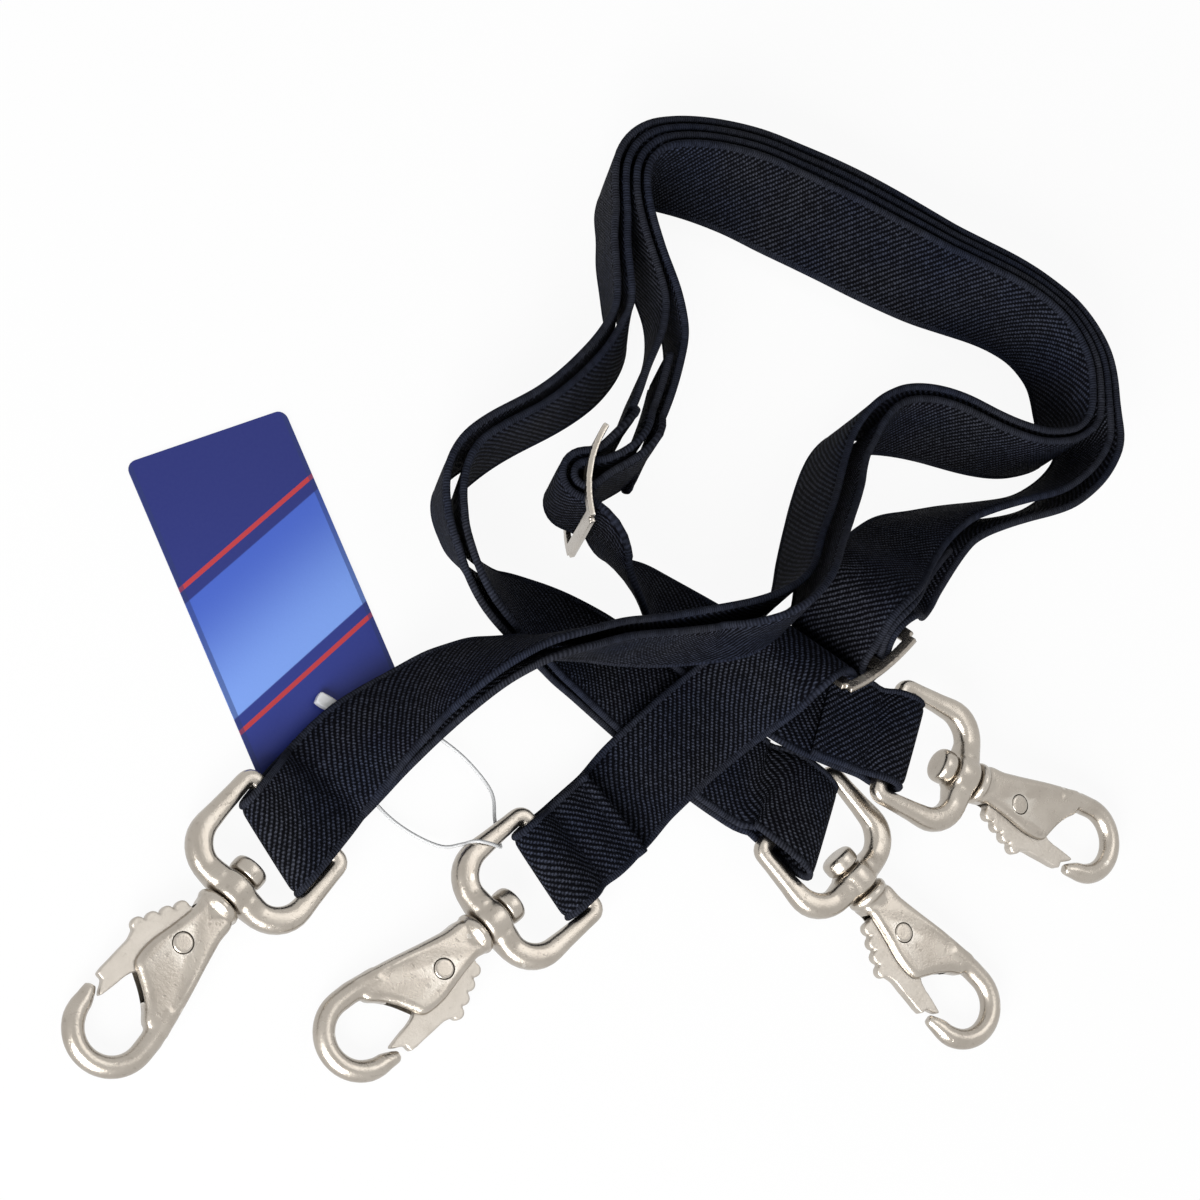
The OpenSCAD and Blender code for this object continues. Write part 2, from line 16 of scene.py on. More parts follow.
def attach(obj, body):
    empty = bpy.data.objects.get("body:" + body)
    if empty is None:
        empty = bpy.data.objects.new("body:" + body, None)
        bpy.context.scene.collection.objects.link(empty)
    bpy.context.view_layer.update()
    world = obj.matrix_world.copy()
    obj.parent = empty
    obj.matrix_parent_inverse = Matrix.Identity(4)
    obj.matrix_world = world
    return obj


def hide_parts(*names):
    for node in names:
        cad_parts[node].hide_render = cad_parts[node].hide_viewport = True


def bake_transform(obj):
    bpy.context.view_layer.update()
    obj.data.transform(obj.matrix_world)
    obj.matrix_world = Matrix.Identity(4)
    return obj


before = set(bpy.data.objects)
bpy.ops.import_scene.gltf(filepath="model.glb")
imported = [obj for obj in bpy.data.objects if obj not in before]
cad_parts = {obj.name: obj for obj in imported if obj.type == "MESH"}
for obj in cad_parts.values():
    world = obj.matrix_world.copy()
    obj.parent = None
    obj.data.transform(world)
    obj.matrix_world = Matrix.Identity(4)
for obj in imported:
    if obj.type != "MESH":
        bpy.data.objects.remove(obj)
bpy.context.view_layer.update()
scene = bpy.context.scene
scene.view_settings.view_transform = "Standard"

# %% [markdown]
# ## Camera
# The picture was taken from the front left, well above the table, with a long lens, and the camera
# was rolled so that the table's left-right direction stays nearly level. A look-at helper would
# lose that roll, so the camera's three axes are written out. Places are drawn in millimetres from
# the drawing's own origin, and `CENTRE` moves that origin under the middle of the part.

# %% Camera
MM = 0.001
CENTRE = np.array([1.72, 2.06, 0.0])
CAMERA_AT = np.array([-364.8, -213.2, 768.5])
CAMERA_RIGHT = (0.9077, -0.0539, 0.4160)
CAMERA_UP = (-0.0539, 0.9685, 0.2431)
CAMERA_AHEAD = (0.4160, 0.2431, -0.8763)
LENS, SENSOR, NEAREST = 104.45, 36, 0.05


def metres(point):
    """A drawing point in millimetres as a place in the row frame, in metres."""
    return (np.asarray(point, float) - CENTRE) * MM


camera_data = bpy.data.cameras.new("camera")
camera_data.lens, camera_data.sensor_width, camera_data.clip_start = LENS, SENSOR, NEAREST
camera = bpy.data.objects.new("camera", camera_data)
scene.collection.objects.link(camera)
axes = Matrix((CAMERA_RIGHT, CAMERA_UP, [-a for a in CAMERA_AHEAD])).transposed().to_4x4()
camera.matrix_world = Matrix.Translation(Vector(metres(CAMERA_AT))) @ axes
scene.camera = camera
print("camera at", [round(float(v), 3) for v in camera.matrix_world.translation])

# %% [markdown]
# ## Shader maths as Python
# A finish is a small program: where is this point on the webbing, is it on a rib, how worn is it.
# Written node by node that is hard to read, so `Wire` wraps a socket and lets `+ - * /` add Math
# nodes, and `Recipe.node` makes any other node: its settings first, then its sockets.


# %% Wire and Recipe
class Wire:
    """One output socket of a shader; arithmetic on it adds Math nodes."""

    def __init__(self, recipe, socket):
        self.recipe, self.socket = recipe, socket

    def maths(self, operation, *values):
        return self.recipe.node("ShaderNodeMath", {"operation": operation}, dict(enumerate(values)))

    def __add__(self, other):
        return self.maths("ADD", self, other)

    __radd__ = __add__

    def __sub__(self, other):
        return self.maths("SUBTRACT", self, other)

    def __rsub__(self, other):
        return self.maths("SUBTRACT", other, self)

    def __mul__(self, other):
        return self.maths("MULTIPLY", self, other)

    __rmul__ = __mul__

    def __truediv__(self, other):
        return self.maths("DIVIDE", self, other)

    def __rtruediv__(self, other):
        return self.maths("DIVIDE", other, self)

    def __pow__(self, other):
        return self.maths("POWER", self, other)

    def __rpow__(self, other):
        return self.maths("POWER", other, self)

    def __abs__(self):
        return self.maths("ABSOLUTE", self)

    def floor(self):
        return self.maths("FLOOR", self)

    def wave(self):
        """A smooth hill from 0 to 1 and back for each whole step of this value."""
        return 0.5 - 0.5 * self.maths("COSINE", self * (2 * math.pi))

    def rise(self, low, high):
        """0 below low, 1 above high, smooth between."""
        limits = {"Value": self, "From Min": low, "From Max": high}
        return self.recipe.node("ShaderNodeMapRange", {"interpolation_type": "SMOOTHSTEP"}, limits)


class Recipe:
    """A node tree that is filled by method calls."""

    def __init__(self, tree):
        self.tree = tree
        tree.nodes.clear()

    def node(self, kind, settings=None, sockets=None, out=0):
        """Any node: its settings first, then the values or links of its sockets."""
        made = self.tree.nodes.new(kind)
        for key, value in (settings or {}).items():
            setattr(made, key, value)
        for key, value in (sockets or {}).items():
            if isinstance(value, Wire):
                self.tree.links.new(value.socket, made.inputs[key])
            else:
                made.inputs[key].default_value = value
        return Wire(self, made.outputs[out]) if made.outputs else None

    def parts(self, vector):
        split = self.node("ShaderNodeSeparateXYZ", None, {0: vector})
        return [Wire(self, s) for s in split.socket.node.outputs]

    def mix(self, amount, first, second):
        """A colour between first and second."""
        first, second = [c if isinstance(c, Wire) else (*c, 1) for c in (first, second)]
        sockets = {0: amount, 6: first, 7: second}
        return self.node("ShaderNodeMix", {"data_type": "RGBA"}, sockets, 2)

    def place(self):
        """Where a point lies on its piece, in metres."""
        return self.node("ShaderNodeTexCoord", None, None, "Object")

    def noise(self, place, scale, detail=3.0, rough=0.55):
        sockets = {"Vector": place, "Scale": scale, "Detail": detail, "Roughness": rough}
        return self.node("ShaderNodeTexNoise", None, sockets)

    def bump(self, height, distance):
        sockets = {"Height": height, "Distance": distance, "Strength": 1.0}
        return self.node("ShaderNodeBump", None, sockets)


def new_recipe(name):
    material = bpy.data.materials.new(name)
    material.use_nodes = True
    return material, Recipe(material.node_tree)


def surface(recipe, **sockets):
    """Ends a recipe in one Principled shader; underscores in names stand for spaces."""
    named = {key.replace("_", " "): value for key, value in sockets.items()}
    for key, value in named.items():
        if key in ("Base Color", "Emission Color") and not isinstance(value, Wire):
            named[key] = (*value, 1)
    shader = recipe.node("ShaderNodeBsdfPrincipled", None, named)
    recipe.node("ShaderNodeOutputMaterial", None, {"Surface": shader})


print("shader helpers ready")

# %% [markdown]
# ## Table and light
# The picture is a cut-out on white. A table that is white to the camera and in reflections, but an
# ordinary pale surface for light, gives that without brightening the straps. A little of the plain
# surface is kept in, so the shadow still shows where things touch. The sky is dim and brighter on
# the right, and the two lamps are large: satin metal then shows bright tops and darker sides. The
# strong lamp at the front left brings out the ribs on the standing straps.

# %% Table
WHITE_SHARE = 0.93
TABLE_HALF = 3.0
TABLE_TOP = -0.0002


def shown_white(recipe):
    """1 for rays that show the white background: to the camera, in metal and through plastic."""
    seen = recipe.node("ShaderNodeLightPath", None, None, "Is Camera Ray")
    outputs = seen.socket.node.outputs
    for kind in ("Is Glossy Ray", "Is Transmission Ray"):
        seen = seen.maths("MAXIMUM", seen, Wire(recipe, outputs[kind]))
    return seen


table_finish, r = new_recipe("table")
plain = r.node("ShaderNodeBsdfDiffuse", None, {"Color": (0.75, 0.75, 0.75, 1)})
white = r.node("ShaderNodeEmission", None, {"Color": (1, 1, 1, 1), "Strength": 1.0})
mixed = {0: shown_white(r) * WHITE_SHARE, 1: plain, 2: white}
r.node("ShaderNodeOutputMaterial", None, {"Surface": r.node("ShaderNodeMixShader", None, mixed)})

table_mesh = bpy.data.meshes.new("table")
corners = [(x * TABLE_HALF, y * TABLE_HALF, TABLE_TOP)
           for x, y in ((-1, -1), (1, -1), (1, 1), (-1, 1))]
table_mesh.from_pydata(corners, [], [(0, 1, 2, 3)])
table_mesh.materials.append(table_finish)
table = bpy.data.objects.new("table", table_mesh)
scene.collection.objects.link(table)
print("table top at", TABLE_TOP)

# %% Sky and lamps
SKY_LOW, SKY_TOP, SKY_RIGHT = 0.07, 0.12, 0.8
world = bpy.data.worlds.new("sky")
scene.world = world
world.use_nodes = True
r = Recipe(world.node_tree)
toward = r.parts(r.node("ShaderNodeTexCoord", None, None, "Generated"))
overhead = toward[2].rise(0.05, 0.95)
right_side = toward[0].rise(0.25, 0.9)
sky = SKY_LOW + overhead * SKY_TOP + right_side * SKY_RIGHT
seen = shown_white(r)
level = seen + (1 - seen) * sky
back = r.node("ShaderNodeBackground", None, {"Color": (1, 1, 1, 1), "Strength": level})
r.node("ShaderNodeOutputWorld", None, {"Surface": back})


def lamp(name, place, size, watts):
    """A square soft light that looks at the middle of the tangle."""
    data = bpy.data.lights.new(name, "AREA")
    data.size, data.energy = size, watts
    light = bpy.data.objects.new(name, data)
    scene.collection.objects.link(light)
    light.location = place
    light.rotation_euler = (-Vector(place)).to_track_quat("-Z", "Y").to_euler()


lamp("window", place=(-0.95, -1.25, 0.8), size=1.2, watts=62)
lamp("ceiling", place=(0.7, 0.33, 1.6), size=0.9, watts=4.2)
print("sky and two lamps")

# %% [markdown]
# ## Elastic webbing finish
# The real webbing is a near-black navy elastic: fine raised ribs run slantwise across it, each rib
# a chain of small stitches, and each edge is a rolled selvage with a groove beside it. The mesh
# gets a map in millimetres, across and along the strap, so the ribs keep their real pitch on every
# bend. The roll and the groove are in the mesh, and the thread relief is bump.

# %% Webbing finish
RIB_PITCH = 1.25
RIB_SLANT = math.radians(48)
STITCH_PITCH = 0.8
SELVAGE_FROM = 10.9

webbing, r = new_recipe("elastic_webbing")
across, along, _ = r.parts(r.node("ShaderNodeUVMap", {"uv_map": "webbing"}))
wobble = r.node("ShaderNodeCombineXYZ", None, {0: across, 1: along})
drift = r.noise(wobble, 0.22, 2.0) * 0.5 + r.noise(wobble, 1.5, 2.0) * 0.6
rib = (along * math.sin(RIB_SLANT) + across * math.cos(RIB_SLANT)) / RIB_PITCH + drift
chain = (across * math.sin(RIB_SLANT) - along * math.cos(RIB_SLANT)) / STITCH_PITCH
chain = chain + rib.floor() * 0.5
thread = r.node("ShaderNodeTexWhiteNoise", {"noise_dimensions": "2D"}, {
    "Vector": r.node("ShaderNodeCombineXYZ", None, {0: rib.floor(), 1: chain.floor()})})
cord_top = rib.wave() ** 0.8
stitch_top = 0.45 + chain.wave() * 0.55
ribbed = cord_top * stitch_top * (0.65 + thread * 0.5)
wrapped = 0.3 + (along / 0.62).wave() * 0.22 + thread * 0.12
selvage = abs(across).rise(SELVAGE_FROM - 0.3, SELVAGE_FROM + 0.1)
relief = ribbed + selvage * (wrapped - ribbed)
fuzz = r.noise(wobble, 5.0, 2.0)
lit = (relief * 0.85 + fuzz * 0.3).rise(0.28, 0.95)
patch = r.noise(wobble, 0.035, 2.0).rise(0.3, 0.7)
navy = r.mix(lit, (0.0011, 0.0012, 0.0024), (0.0245, 0.03, 0.051))
faded = r.mix(lit, (0.0014, 0.0014, 0.0021), (0.038, 0.041, 0.054))
surface(
    r,
    Base_Color=r.mix(patch, navy, faded),
    Roughness=0.92 - relief * 0.24,
    Specular_IOR_Level=0.04,
    Normal=r.bump(relief + fuzz * 0.12, 0.42 * MM),
)


# %% Thread finish
def streaked(name, scale, dark, light, rough, relief=0.0, **constants):
    """A plain finish with one fine noise; rough is the roughness of the dark and the light."""
    finish, r = new_recipe(name)
    streak = r.noise(r.place(), scale, 2.0)
    if relief:
        constants["Normal"] = r.bump(streak, relief)
    surface(r, Base_Color=r.mix(streak, dark, light),
            Roughness=rough[0] + streak * (rough[1] - rough[0]), **constants)
    return finish


sewing_thread = streaked("sewing_thread", 2600.0, (0.002, 0.0022, 0.004), (0.009, 0.01, 0.015),
                         (0.85, 0.7), 0.1 * MM, Specular_IOR_Level=0.03)
print("webbing and thread finishes")

# %% [markdown]
# ## Satin nickel finish
# The snaps are cast and plated in a warm satin nickel. Edges are lighter, painted highlight with
# handling wear, and corners darker, painted shade with residue. The mesh's own pointiness tells
# edges from corners, so one finish fits every casting, and fine grain bump breaks the reflections.

# %% Metal finishes
nickel, r = new_recipe("satin_nickel")
place = r.place()
bend = r.node("ShaderNodeNewGeometry", None, None, "Pointiness")
# edge marks the rounded edges, which are painted lighter: painted highlight with handling wear
edge = bend.rise(0.5, 0.58)
# painted shade in the corners and hollows, together with real residue
corner_shade_and_dirt = 1 - bend.rise(0.4, 0.5)
grain = r.noise(place, 1500.0, 4.0, 0.65)
cloud = r.noise(place, 120.0, 3.0)
pits = r.noise(place, 700.0, 2.0).rise(0.6, 0.72)
shade = r.mix(cloud, (0.33, 0.293, 0.25), (0.5, 0.458, 0.403))
# painted highlight on the edges, together with real handling wear
shade = r.mix(edge * 0.6, shade, (0.68, 0.64, 0.58))
# the near-black tone is painted shade in the corners, with real pits mixed in
shade = r.mix(corner_shade_and_dirt * 0.85 + pits * 0.15, shade, (0.085, 0.068, 0.054))
surface(
    r,
    Base_Color=shade,
    Metallic=1.0,
    Roughness=0.22 + cloud * 0.1 + corner_shade_and_dirt * 0.2 - edge * 0.04,
    Normal=r.bump(grain - pits * 0.6, 0.045 * MM),
)

rough_cast, r = new_recipe("rough_cast_nickel")
place = r.place()
bend = r.node("ShaderNodeNewGeometry", None, None, "Pointiness")
grain = r.noise(place, 900.0, 5.0, 0.7)
cloud = r.noise(place, 160.0, 3.0)
# painted shade in the hollows of the casting, together with real residue
hollow_shade_and_dirt = 1 - bend.rise(0.4, 0.5)
shade = r.mix(cloud, (0.4, 0.362, 0.315), (0.57, 0.53, 0.478))
# the dark tone is painted shade in the hollows, with rough grain mixed in
shade = r.mix(hollow_shade_and_dirt * 0.7 + grain.rise(0.62, 0.75) * 0.35, shade, (0.14, 0.115, 0.095))
surface(
    r,
    Base_Color=shade,
    Metallic=1.0,
    Roughness=0.34 + grain * 0.2,
    Normal=r.bump(grain, 0.16 * MM),
)

spring_steel = streaked("spring_steel", 900.0, (0.2, 0.2, 0.2), (0.34, 0.34, 0.35), (0.3, 0.45),
                        Metallic=1.0)
print("metal finishes")

# %% [markdown]
# ## Strap routes
# Flat webbing is modelled directly: a list of rings, each with a centre and a width direction.
# Stations give a place on the table, the height of the lower edge and the tilt from upright; a
# smooth curve through them gives the rings. Doubled strands are laid beside one another, so they
# nest without touching. All the numbers are the same as in the solid model.

# %% Route helpers
WIDTH = 25.0
HALF_W = WIDTH / 2
HALF_T = 1.0
LAYER = 2.8
TURN_GAP = 0.35
BAR_R = 2.1
TURN_R = BAR_R + TURN_GAP + HALF_T
UP = np.array([0.0, 0.0, 1.0])


def unit(v):
    return v / np.linalg.norm(v)


def left_of(degrees):
    a = math.radians(degrees)
    return np.array([-math.sin(a), math.cos(a), 0.0])


def clamp_at(items, i):
    return items[max(0, min(len(items) - 1, i))]


def curve_point(a, b, c, d, t):
    """The point at t, from 0 to 1, between b and c on a smooth curve through four points."""
    return 0.5 * (2 * b + (c - a) * t + (2 * a - 5 * b + 4 * c - d) * t * t
                  + (3 * b - a - 3 * c + d) * t**3)


def smooth(stations, n):
    """Points of a curve through the stations, n for each step."""
    s = [np.array(p, float) for p in stations]
    out = []
    for i in range(len(s) - 1):
        four = clamp_at(s, i - 1), s[i], s[i + 1], clamp_at(s, i + 2)
        out += [curve_point(*four, k / n) for k in range(n)]
    return out + [s[-1]]


def rings(stations, n=2):
    """Rings of a strand from stations [x, y, lower edge, tilt]."""
    s = smooth(stations, n)
    out = []
    for i, (x, y, base, tilt) in enumerate(s):
        ahead = clamp_at(s, i + 1) - clamp_at(s, i - 1)
        side = left_of(math.degrees(math.atan2(ahead[1], ahead[0])))
        c, t = math.cos(math.radians(tilt)), math.sin(math.radians(tilt))
        out.append((np.array([x, y, base + HALF_W * abs(c) + HALF_T * abs(t)]), c * UP + t * side))
    return out


def face_of(strand, i):
    ahead = clamp_at(strand, i + 1)[0] - clamp_at(strand, i - 1)[0]
    return unit(np.cross(unit(ahead), strand[i][1]))


def beside(strand, gap):
    return [(p + gap * face_of(strand, i), u) for i, (p, u) in enumerate(strand)]


def flip(strand):
    return strand[::-1]


def arc(radius, first, last, n):
    angles = [math.radians(first + (last - first) * i / n) for i in range(n + 1)]
    return [np.array([radius * math.cos(a), radius * math.sin(a)]) for a in angles]


print("webbing", WIDTH, "mm wide, layers", LAYER, "mm apart")

# %% [markdown]
# ### Places of the snaps and sliders
# A snap is drawn once, from its strap bar along its own length, and a slider from its middle bar.
# Each real one then needs a place, a heading and a slope. A small `Frame` class keeps these three
# axes, so that a point of a snap can be asked for in the snap's own terms.


# %% Frames
class Frame:
    """A snap's or a slider's own axes: place, along, across, over."""

    def __init__(self, at, along, across, over):
        self.at = np.array(at, float)
        self.along, self.across, self.over = along, across, over

    @classmethod
    def headed(cls, at, heading, down):
        h, d = math.radians(heading), math.radians(down)
        along = np.array([math.cos(h) * math.cos(d), math.sin(h) * math.cos(d), -math.sin(d)])
        across = left_of(heading)
        return cls(at, along, across, np.cross(along, across))

    def point(self, x, y, z):
        return self.at + x * self.along + y * self.across + z * self.over

    def matrix(self, turned_over=False):
        """Places a mesh drawn in millimetres in this frame."""
        m = Matrix((self.along, self.across, self.over)).transposed().to_4x4()
        half_turn = Matrix.Rotation(math.pi if turned_over else 0, 4, "X")
        return Matrix.Translation(Vector(metres(self.at))) @ m @ half_turn @ Matrix.Scale(MM, 4)


print("frames ready")

# %% Snap and slider places
SNAPS = {
    "a": ([-85.8, -59.8, 7.1], -132.5, 3),
    "b": ([-18.2, -68.5, 7.1], -141.5, 3),
    "c": ([47.9, -53.9, 7.1], -46.5, 3),
    "d": ([72.3, -36.3, 15.1], -20, 8.8),
}
END_TURNS = {"a": (1.2, 0), "b": (0.8, 0), "c": (1, -17), "d": (-1.2, -7.8)}
snaps = {key: Frame.headed(*value) for key, value in SNAPS.items()}
strap_ends = {
    key: Frame.headed(SNAPS[key][0], SNAPS[key][1] + turn, down)
    for key, (turn, down) in END_TURNS.items()
}


def flat_way(degrees):
    """The level direction at a heading."""
    return np.array([math.cos(math.radians(degrees)), math.sin(math.radians(degrees)), 0.0])


def leant(heading, degrees):
    """Upright, leant over to the left of a heading."""
    c, s = flat_way(degrees)[:2]
    return c * UP + s * left_of(heading)


ONE_HEADING, ONE_LEAN = 78, 14
TWO_HEADING, TWO_LEAN = 35, -52
one_x, one_u = flat_way(ONE_HEADING), leant(ONE_HEADING, ONE_LEAN)
two_x, two_u = flat_way(TWO_HEADING), leant(TWO_HEADING, TWO_LEAN)
slider_one = Frame([-8.8, 23.2, 16.6], one_x, one_u, np.cross(one_x, one_u))
slider_two = Frame([54.4, -11, 23.6], two_x, two_u, np.cross(two_u, two_x))
print("four snaps and two sliders placed")

# %% [markdown]
# ### Stations of the strands
# L and R are the strands on the left and right of the big loop, `FAR` the four that nest round its
# far side, and the pairs are the doubled ends at snaps A and C. Each row is x, y, the height of the
# lower edge and the tilt; a row of `FAR` is x, y and the tilt, which gives its height.

# %% Stations of the strands
FAR = [[10.2, 101.5, 13], [11.1, 106.4, 16], [14.6, 109.5, 21], [22.3, 110.4, 28],
       [32.4, 109.8, 35], [42.7, 108, 42], [51.8, 105.2, 47], [60.7, 102.4, 50], [69.8, 99.2, 51],
       [79, 95.5, 50], [87.6, 91.9, 46], [96.3, 88.3, 40], [106.4, 85, 33], [117, 81.2, 26],
       [127, 75.3, 19], [133.2, 66.6, 13], [134.2, 57.2, 9]]
L4 = [[8.4, 36.6, 3.2, 14], [11.6, 42.6, 2.6, 14], [15, 50.6, 2.2, 14], [18.4, 61.6, 1.8, 14],
      [18.6, 68.6, 1.8, 14], [16.8, 77, 1.8, 13], [13.9, 85.4, 1.8, 13], [11.6, 93.8, 1.8, 13]]
L3 = [[0.6, 38.4, 2.4, 14], [4.4, 45.8, 1.6, 14], [7.8, 53.2, 1.2, 15], [11.6, 60.2, 1, 16],
      [13.6, 66.2, 1, 15], [14, 73.1, 1, 13], [12.2, 80.1, 1, 11], [9.4, 89.6, 1, 11],
      [8.2, 95.4, 1.1, 12]]
R1 = [[133.6, 52.3, 1, 5], [131.2, 48.9, 0.6, 2], [127.2, 46.8, 0.4, -2], [121.4, 45.7, 0.3, -5],
      [113, 46.2, 0.3, -11], [105.4, 48.1, 0.3, -15], [97.4, 50.6, 0.3, -20], [88.4, 52, 0.3, -22],
      [79, 51.6, 0.3, -18], [70.4, 49, 0.3, -5], [63.2, 42, 0.3, 0], [58.2, 32.2, 1, 2],
      [53.4, 21.6, 3.5, 2], [47.8, 10.6, 7, -2], [43.2, 2, 10.6, -5], [37.4, -4, 13.6, -7],
      [28.6, -8.4, 14.2, -7], [19.6, -11, 13.4, -8], [8, -13.4, 13, -8]]
R2 = [[136.9, 51.3, 0.6, 5], [134.8, 47.4, 0.4, -2], [130.4, 44.4, 0.3, -4], [121.3, 42.4, 0.3, -7],
      [112.6, 43.1, 0.3, -11], [104.6, 45, 0.3, -15], [96.8, 47.4, 0.3, -20],
      [88.4, 48.8, 0.3, -22], [80, 48.2, 0.3, -18], [74, 45.2, 0.3, -8], [69.4, 40.6, 0.3, 0],
      [65.4, 35.2, 0.6, 2], [61, 26, 3.5, 2], [54.6, 15, 9.5, 0], [49, 5.2, 14.6, -4],
      [42.8, -4.4, 20.2, -8], [34.4, -12.2, 22.9, -9], [26.4, -15.6, 20, -8],
      [18.4, -16.8, 14.8, -9], [8, -17.9, 13, -8]]
PAIR_A = [[-2.5, -18.6, 13.4, -5], [-14, -19.6, 15.8, 1], [-27, -22.2, 19, 10],
          [-34, -23.8, 17.4, 16], [-41, -25.9, 14.6, 23], [-48, -28.9, 9.6, 30],
          [-55, -32.9, 4.8, 39], [-67.4, -41.6, 2, 60], [-77, -50.6, 1.4, 81]]
PAIR_C = [[38.8, -47.4, 3.8, 90], [29, -41.3, 3.7, 90], [18.2, -33.4, 3.7, 90],
          [7.6, -25.4, 3.7, 87], [-3, -17.8, 3.7, 82], [-11, -13.4, 3.7, 75],
          [-18.4, -9.8, 3.5, 65], [-26, -6.6, 3.2, 54], [-33, -2.8, 2.7, 40], [-37.8, 2.2, 2.2, 30],
          [-41.6, 8.6, 1.3, 20]]
L2 = [[-42.8, 13, 0.6, 16], [-43.2, 17, 0.4, 15], [-42.7, 21.8, 0.4, 15], [-40.6, 26.9, 0.4, 16],
      [-37.2, 30.6, 0.4, 17], [-30.6, 35.2, 0.4, 15], [-22.8, 39.8, 0.4, 14],
      [-15.4, 44.5, 0.4, 17], [-8.4, 49.7, 0.4, 21], [-2.2, 55.3, 0.4, 24], [2.6, 61.4, 0.4, 25],
      [5.2, 67, 0.4, 24], [5.8, 72.6, 0.5, 18], [5.2, 78.6, 0.6, 15], [4.6, 87.2, 0.6, 14],
      [4.9, 94.4, 0.6, 13]]
L1 = [[-46.4, 12, 0.4, 18], [-47.6, 18, 0.3, 15], [-46.9, 24.6, 0.3, 14], [-43, 30.7, 0.3, 15],
      [-37.2, 35.1, 0.3, 16], [-32, 38.4, 0.3, 15], [-24.3, 43, 0.3, 14], [-17, 47.7, 0.3, 17],
      [-10.3, 52.8, 0.3, 21], [-4.4, 58.1, 0.3, 24], [-0.1, 63.4, 0.3, 25], [1.7, 68.2, 0.3, 23],
      [2, 73.1, 0.3, 18], [1.8, 80.7, 0.3, 16], [1.4, 88.6, 0.3, 15], [2.1, 94.9, 0.2, 14]]
R3 = [[140.2, 51.2, 0.4, 7], [139.6, 45.8, 0.3, 6], [133.8, 38.8, 0.3, 8], [124.4, 32.8, 0.3, 10],
      [113.6, 29.9, 0.3, 12], [103.2, 27.4, 0.4, 16], [93, 24.2, 0.8, 22], [83, 19.6, 4.4, 35],
      [73, 11.8, 11.4, 47], [66.6, 6.2, 18.6, 50]]
R4 = [[143.1, 51.1, 0.3, 7], [143, 45, 0.3, 6], [137.2, 36.4, 0.3, 8], [126.8, 28.8, 0.3, 10],
      [114.8, 25.2, 0.3, 12], [104.6, 22.8, 0.3, 17], [94.2, 18.8, 0.3, 22], [85, 11.8, 2, 35],
      [76.8, 4.6, 5.6, 50], [71.2, 1.2, 11.8, 53]]
STRAND_D = [[-3.4, 8.9, 2, -12], [0.8, 3.5, 1, -26], [5.6, 0.3, 0.6, -44], [11, -2.6, 0.6, -63],
            [16.4, -5.4, 0.7, -72], [24, -9.6, 1.4, -78], [31.5, -14.2, 2.9, -81],
            [39, -19.4, 5, -84], [47, -25.8, 7.8, -87]]
STRAND_B = [[4.2, -48.2, 6, -90], [13.6, -39.6, 8.4, -90], [21.6, -33.2, 9, -88],
            [28.4, -27.8, 10.4, -80], [34.4, -23.6, 13.4, -66]]
print("stations on the sides:", sum(len(s) for s in (L1, L2, L3, L4, R1, R2, R3, R4)))

# %% [markdown]
# ## Turns round bars and through sliders
# At a snap the strap goes round a round bar; at a slider one strand is sewn round the centre bar
# and the other is threaded over it. These turns are arcs in the plane across the bar, so their
# radius is the bar's plus a little air plus half the webbing.

# %% Turns
HEM = 19.5
LAY = LAYER / 2
SLIDER_BOW = 3.0
SLIDER_T = 1.5
MID_BAR = 4.0
LOOP_R = math.hypot(MID_BAR / 2, SLIDER_T / 2) + TURN_GAP + HALF_T
WRAP_R = LOOP_R + LAYER
END_X = 10.0
EDGE_R = HALF_T + TURN_GAP


def about(centre, radius, first, last, n):
    return [np.array(centre) + p for p in arc(radius, first, last, n)]


def open_turn(slack):
    """A loose turn whose round end lies ahead of the bar's middle by the slack."""
    return [[-8, -2.5], [-5, -3.1], [-2, -TURN_R], *about((slack, 0), TURN_R, -90, 90, 10),
            [-2, TURN_R], [-5, 3.1], [-8, 2.5]]


def sewn_turn(slack):
    """A sewn end: the layers are pinched behind the bar and lie flat on each other to the end."""
    flat = [[-HEM, LAY], [-15.5, LAY], [-11, LAY + 0.2], [-7.8, LAY], [-5.6, 1.17], [-4.2, 1.5],
            [-1.2, TURN_R - 0.05]]
    back = [[x, -z] for x, z in flat[::-1]]
    return [*flat, *about((slack, 0), TURN_R, 90, -90, 10), *back]


WRAP = about((0, -SLIDER_BOW), WRAP_R, 175, 365, 10)
LOOP = about((0, -SLIDER_BOW), LOOP_R, 110, 360, 12)
ONE_IN = [[-9, 3.7], [-7.3, 0.7]]
TWO_IN = [[-END_X - 6, SLIDER_T / 2 + EDGE_R + 0.3], [-END_X - 2.5, SLIDER_T / 2 + EDGE_R + 0.4],
          *about((-END_X, SLIDER_T / 2), EDGE_R, 90, 20, 3)]


def bar_turn(end, points, side, skew=0.0):
    """Rings round a bar; the skew pushes the strap's near edge ahead and its far edge back."""
    return [(end.point(x, 0, z), side * end.across,
             skew * min(1, max(0, (x + 7) / 12)) * end.along) for x, z in points]


def in_slider(slider, points):
    return [(slider.point(x, 0, z), slider.across) for x, z in points]


def far_strand(k):
    """Strand k of the four that nest round the far side, 0 the innermost."""
    def drop(tilt):
        return min(1.1, LAYER * math.sin(math.radians(tilt)))

    points = [[x, y, 3 * drop(t) + 0.35, t] for x, y, t in FAR]
    strand, tilts = rings(points), [p[3] for p in smooth(points, 2)]
    out = []
    for i, (p, u) in enumerate(strand):
        t = math.radians(tilts[i])
        slide = (LAYER * math.sin(t) - drop(tilts[i])) / math.cos(t)
        out.append((p - k * LAYER * face_of(strand, i) + k * slide * u, u))
    return out


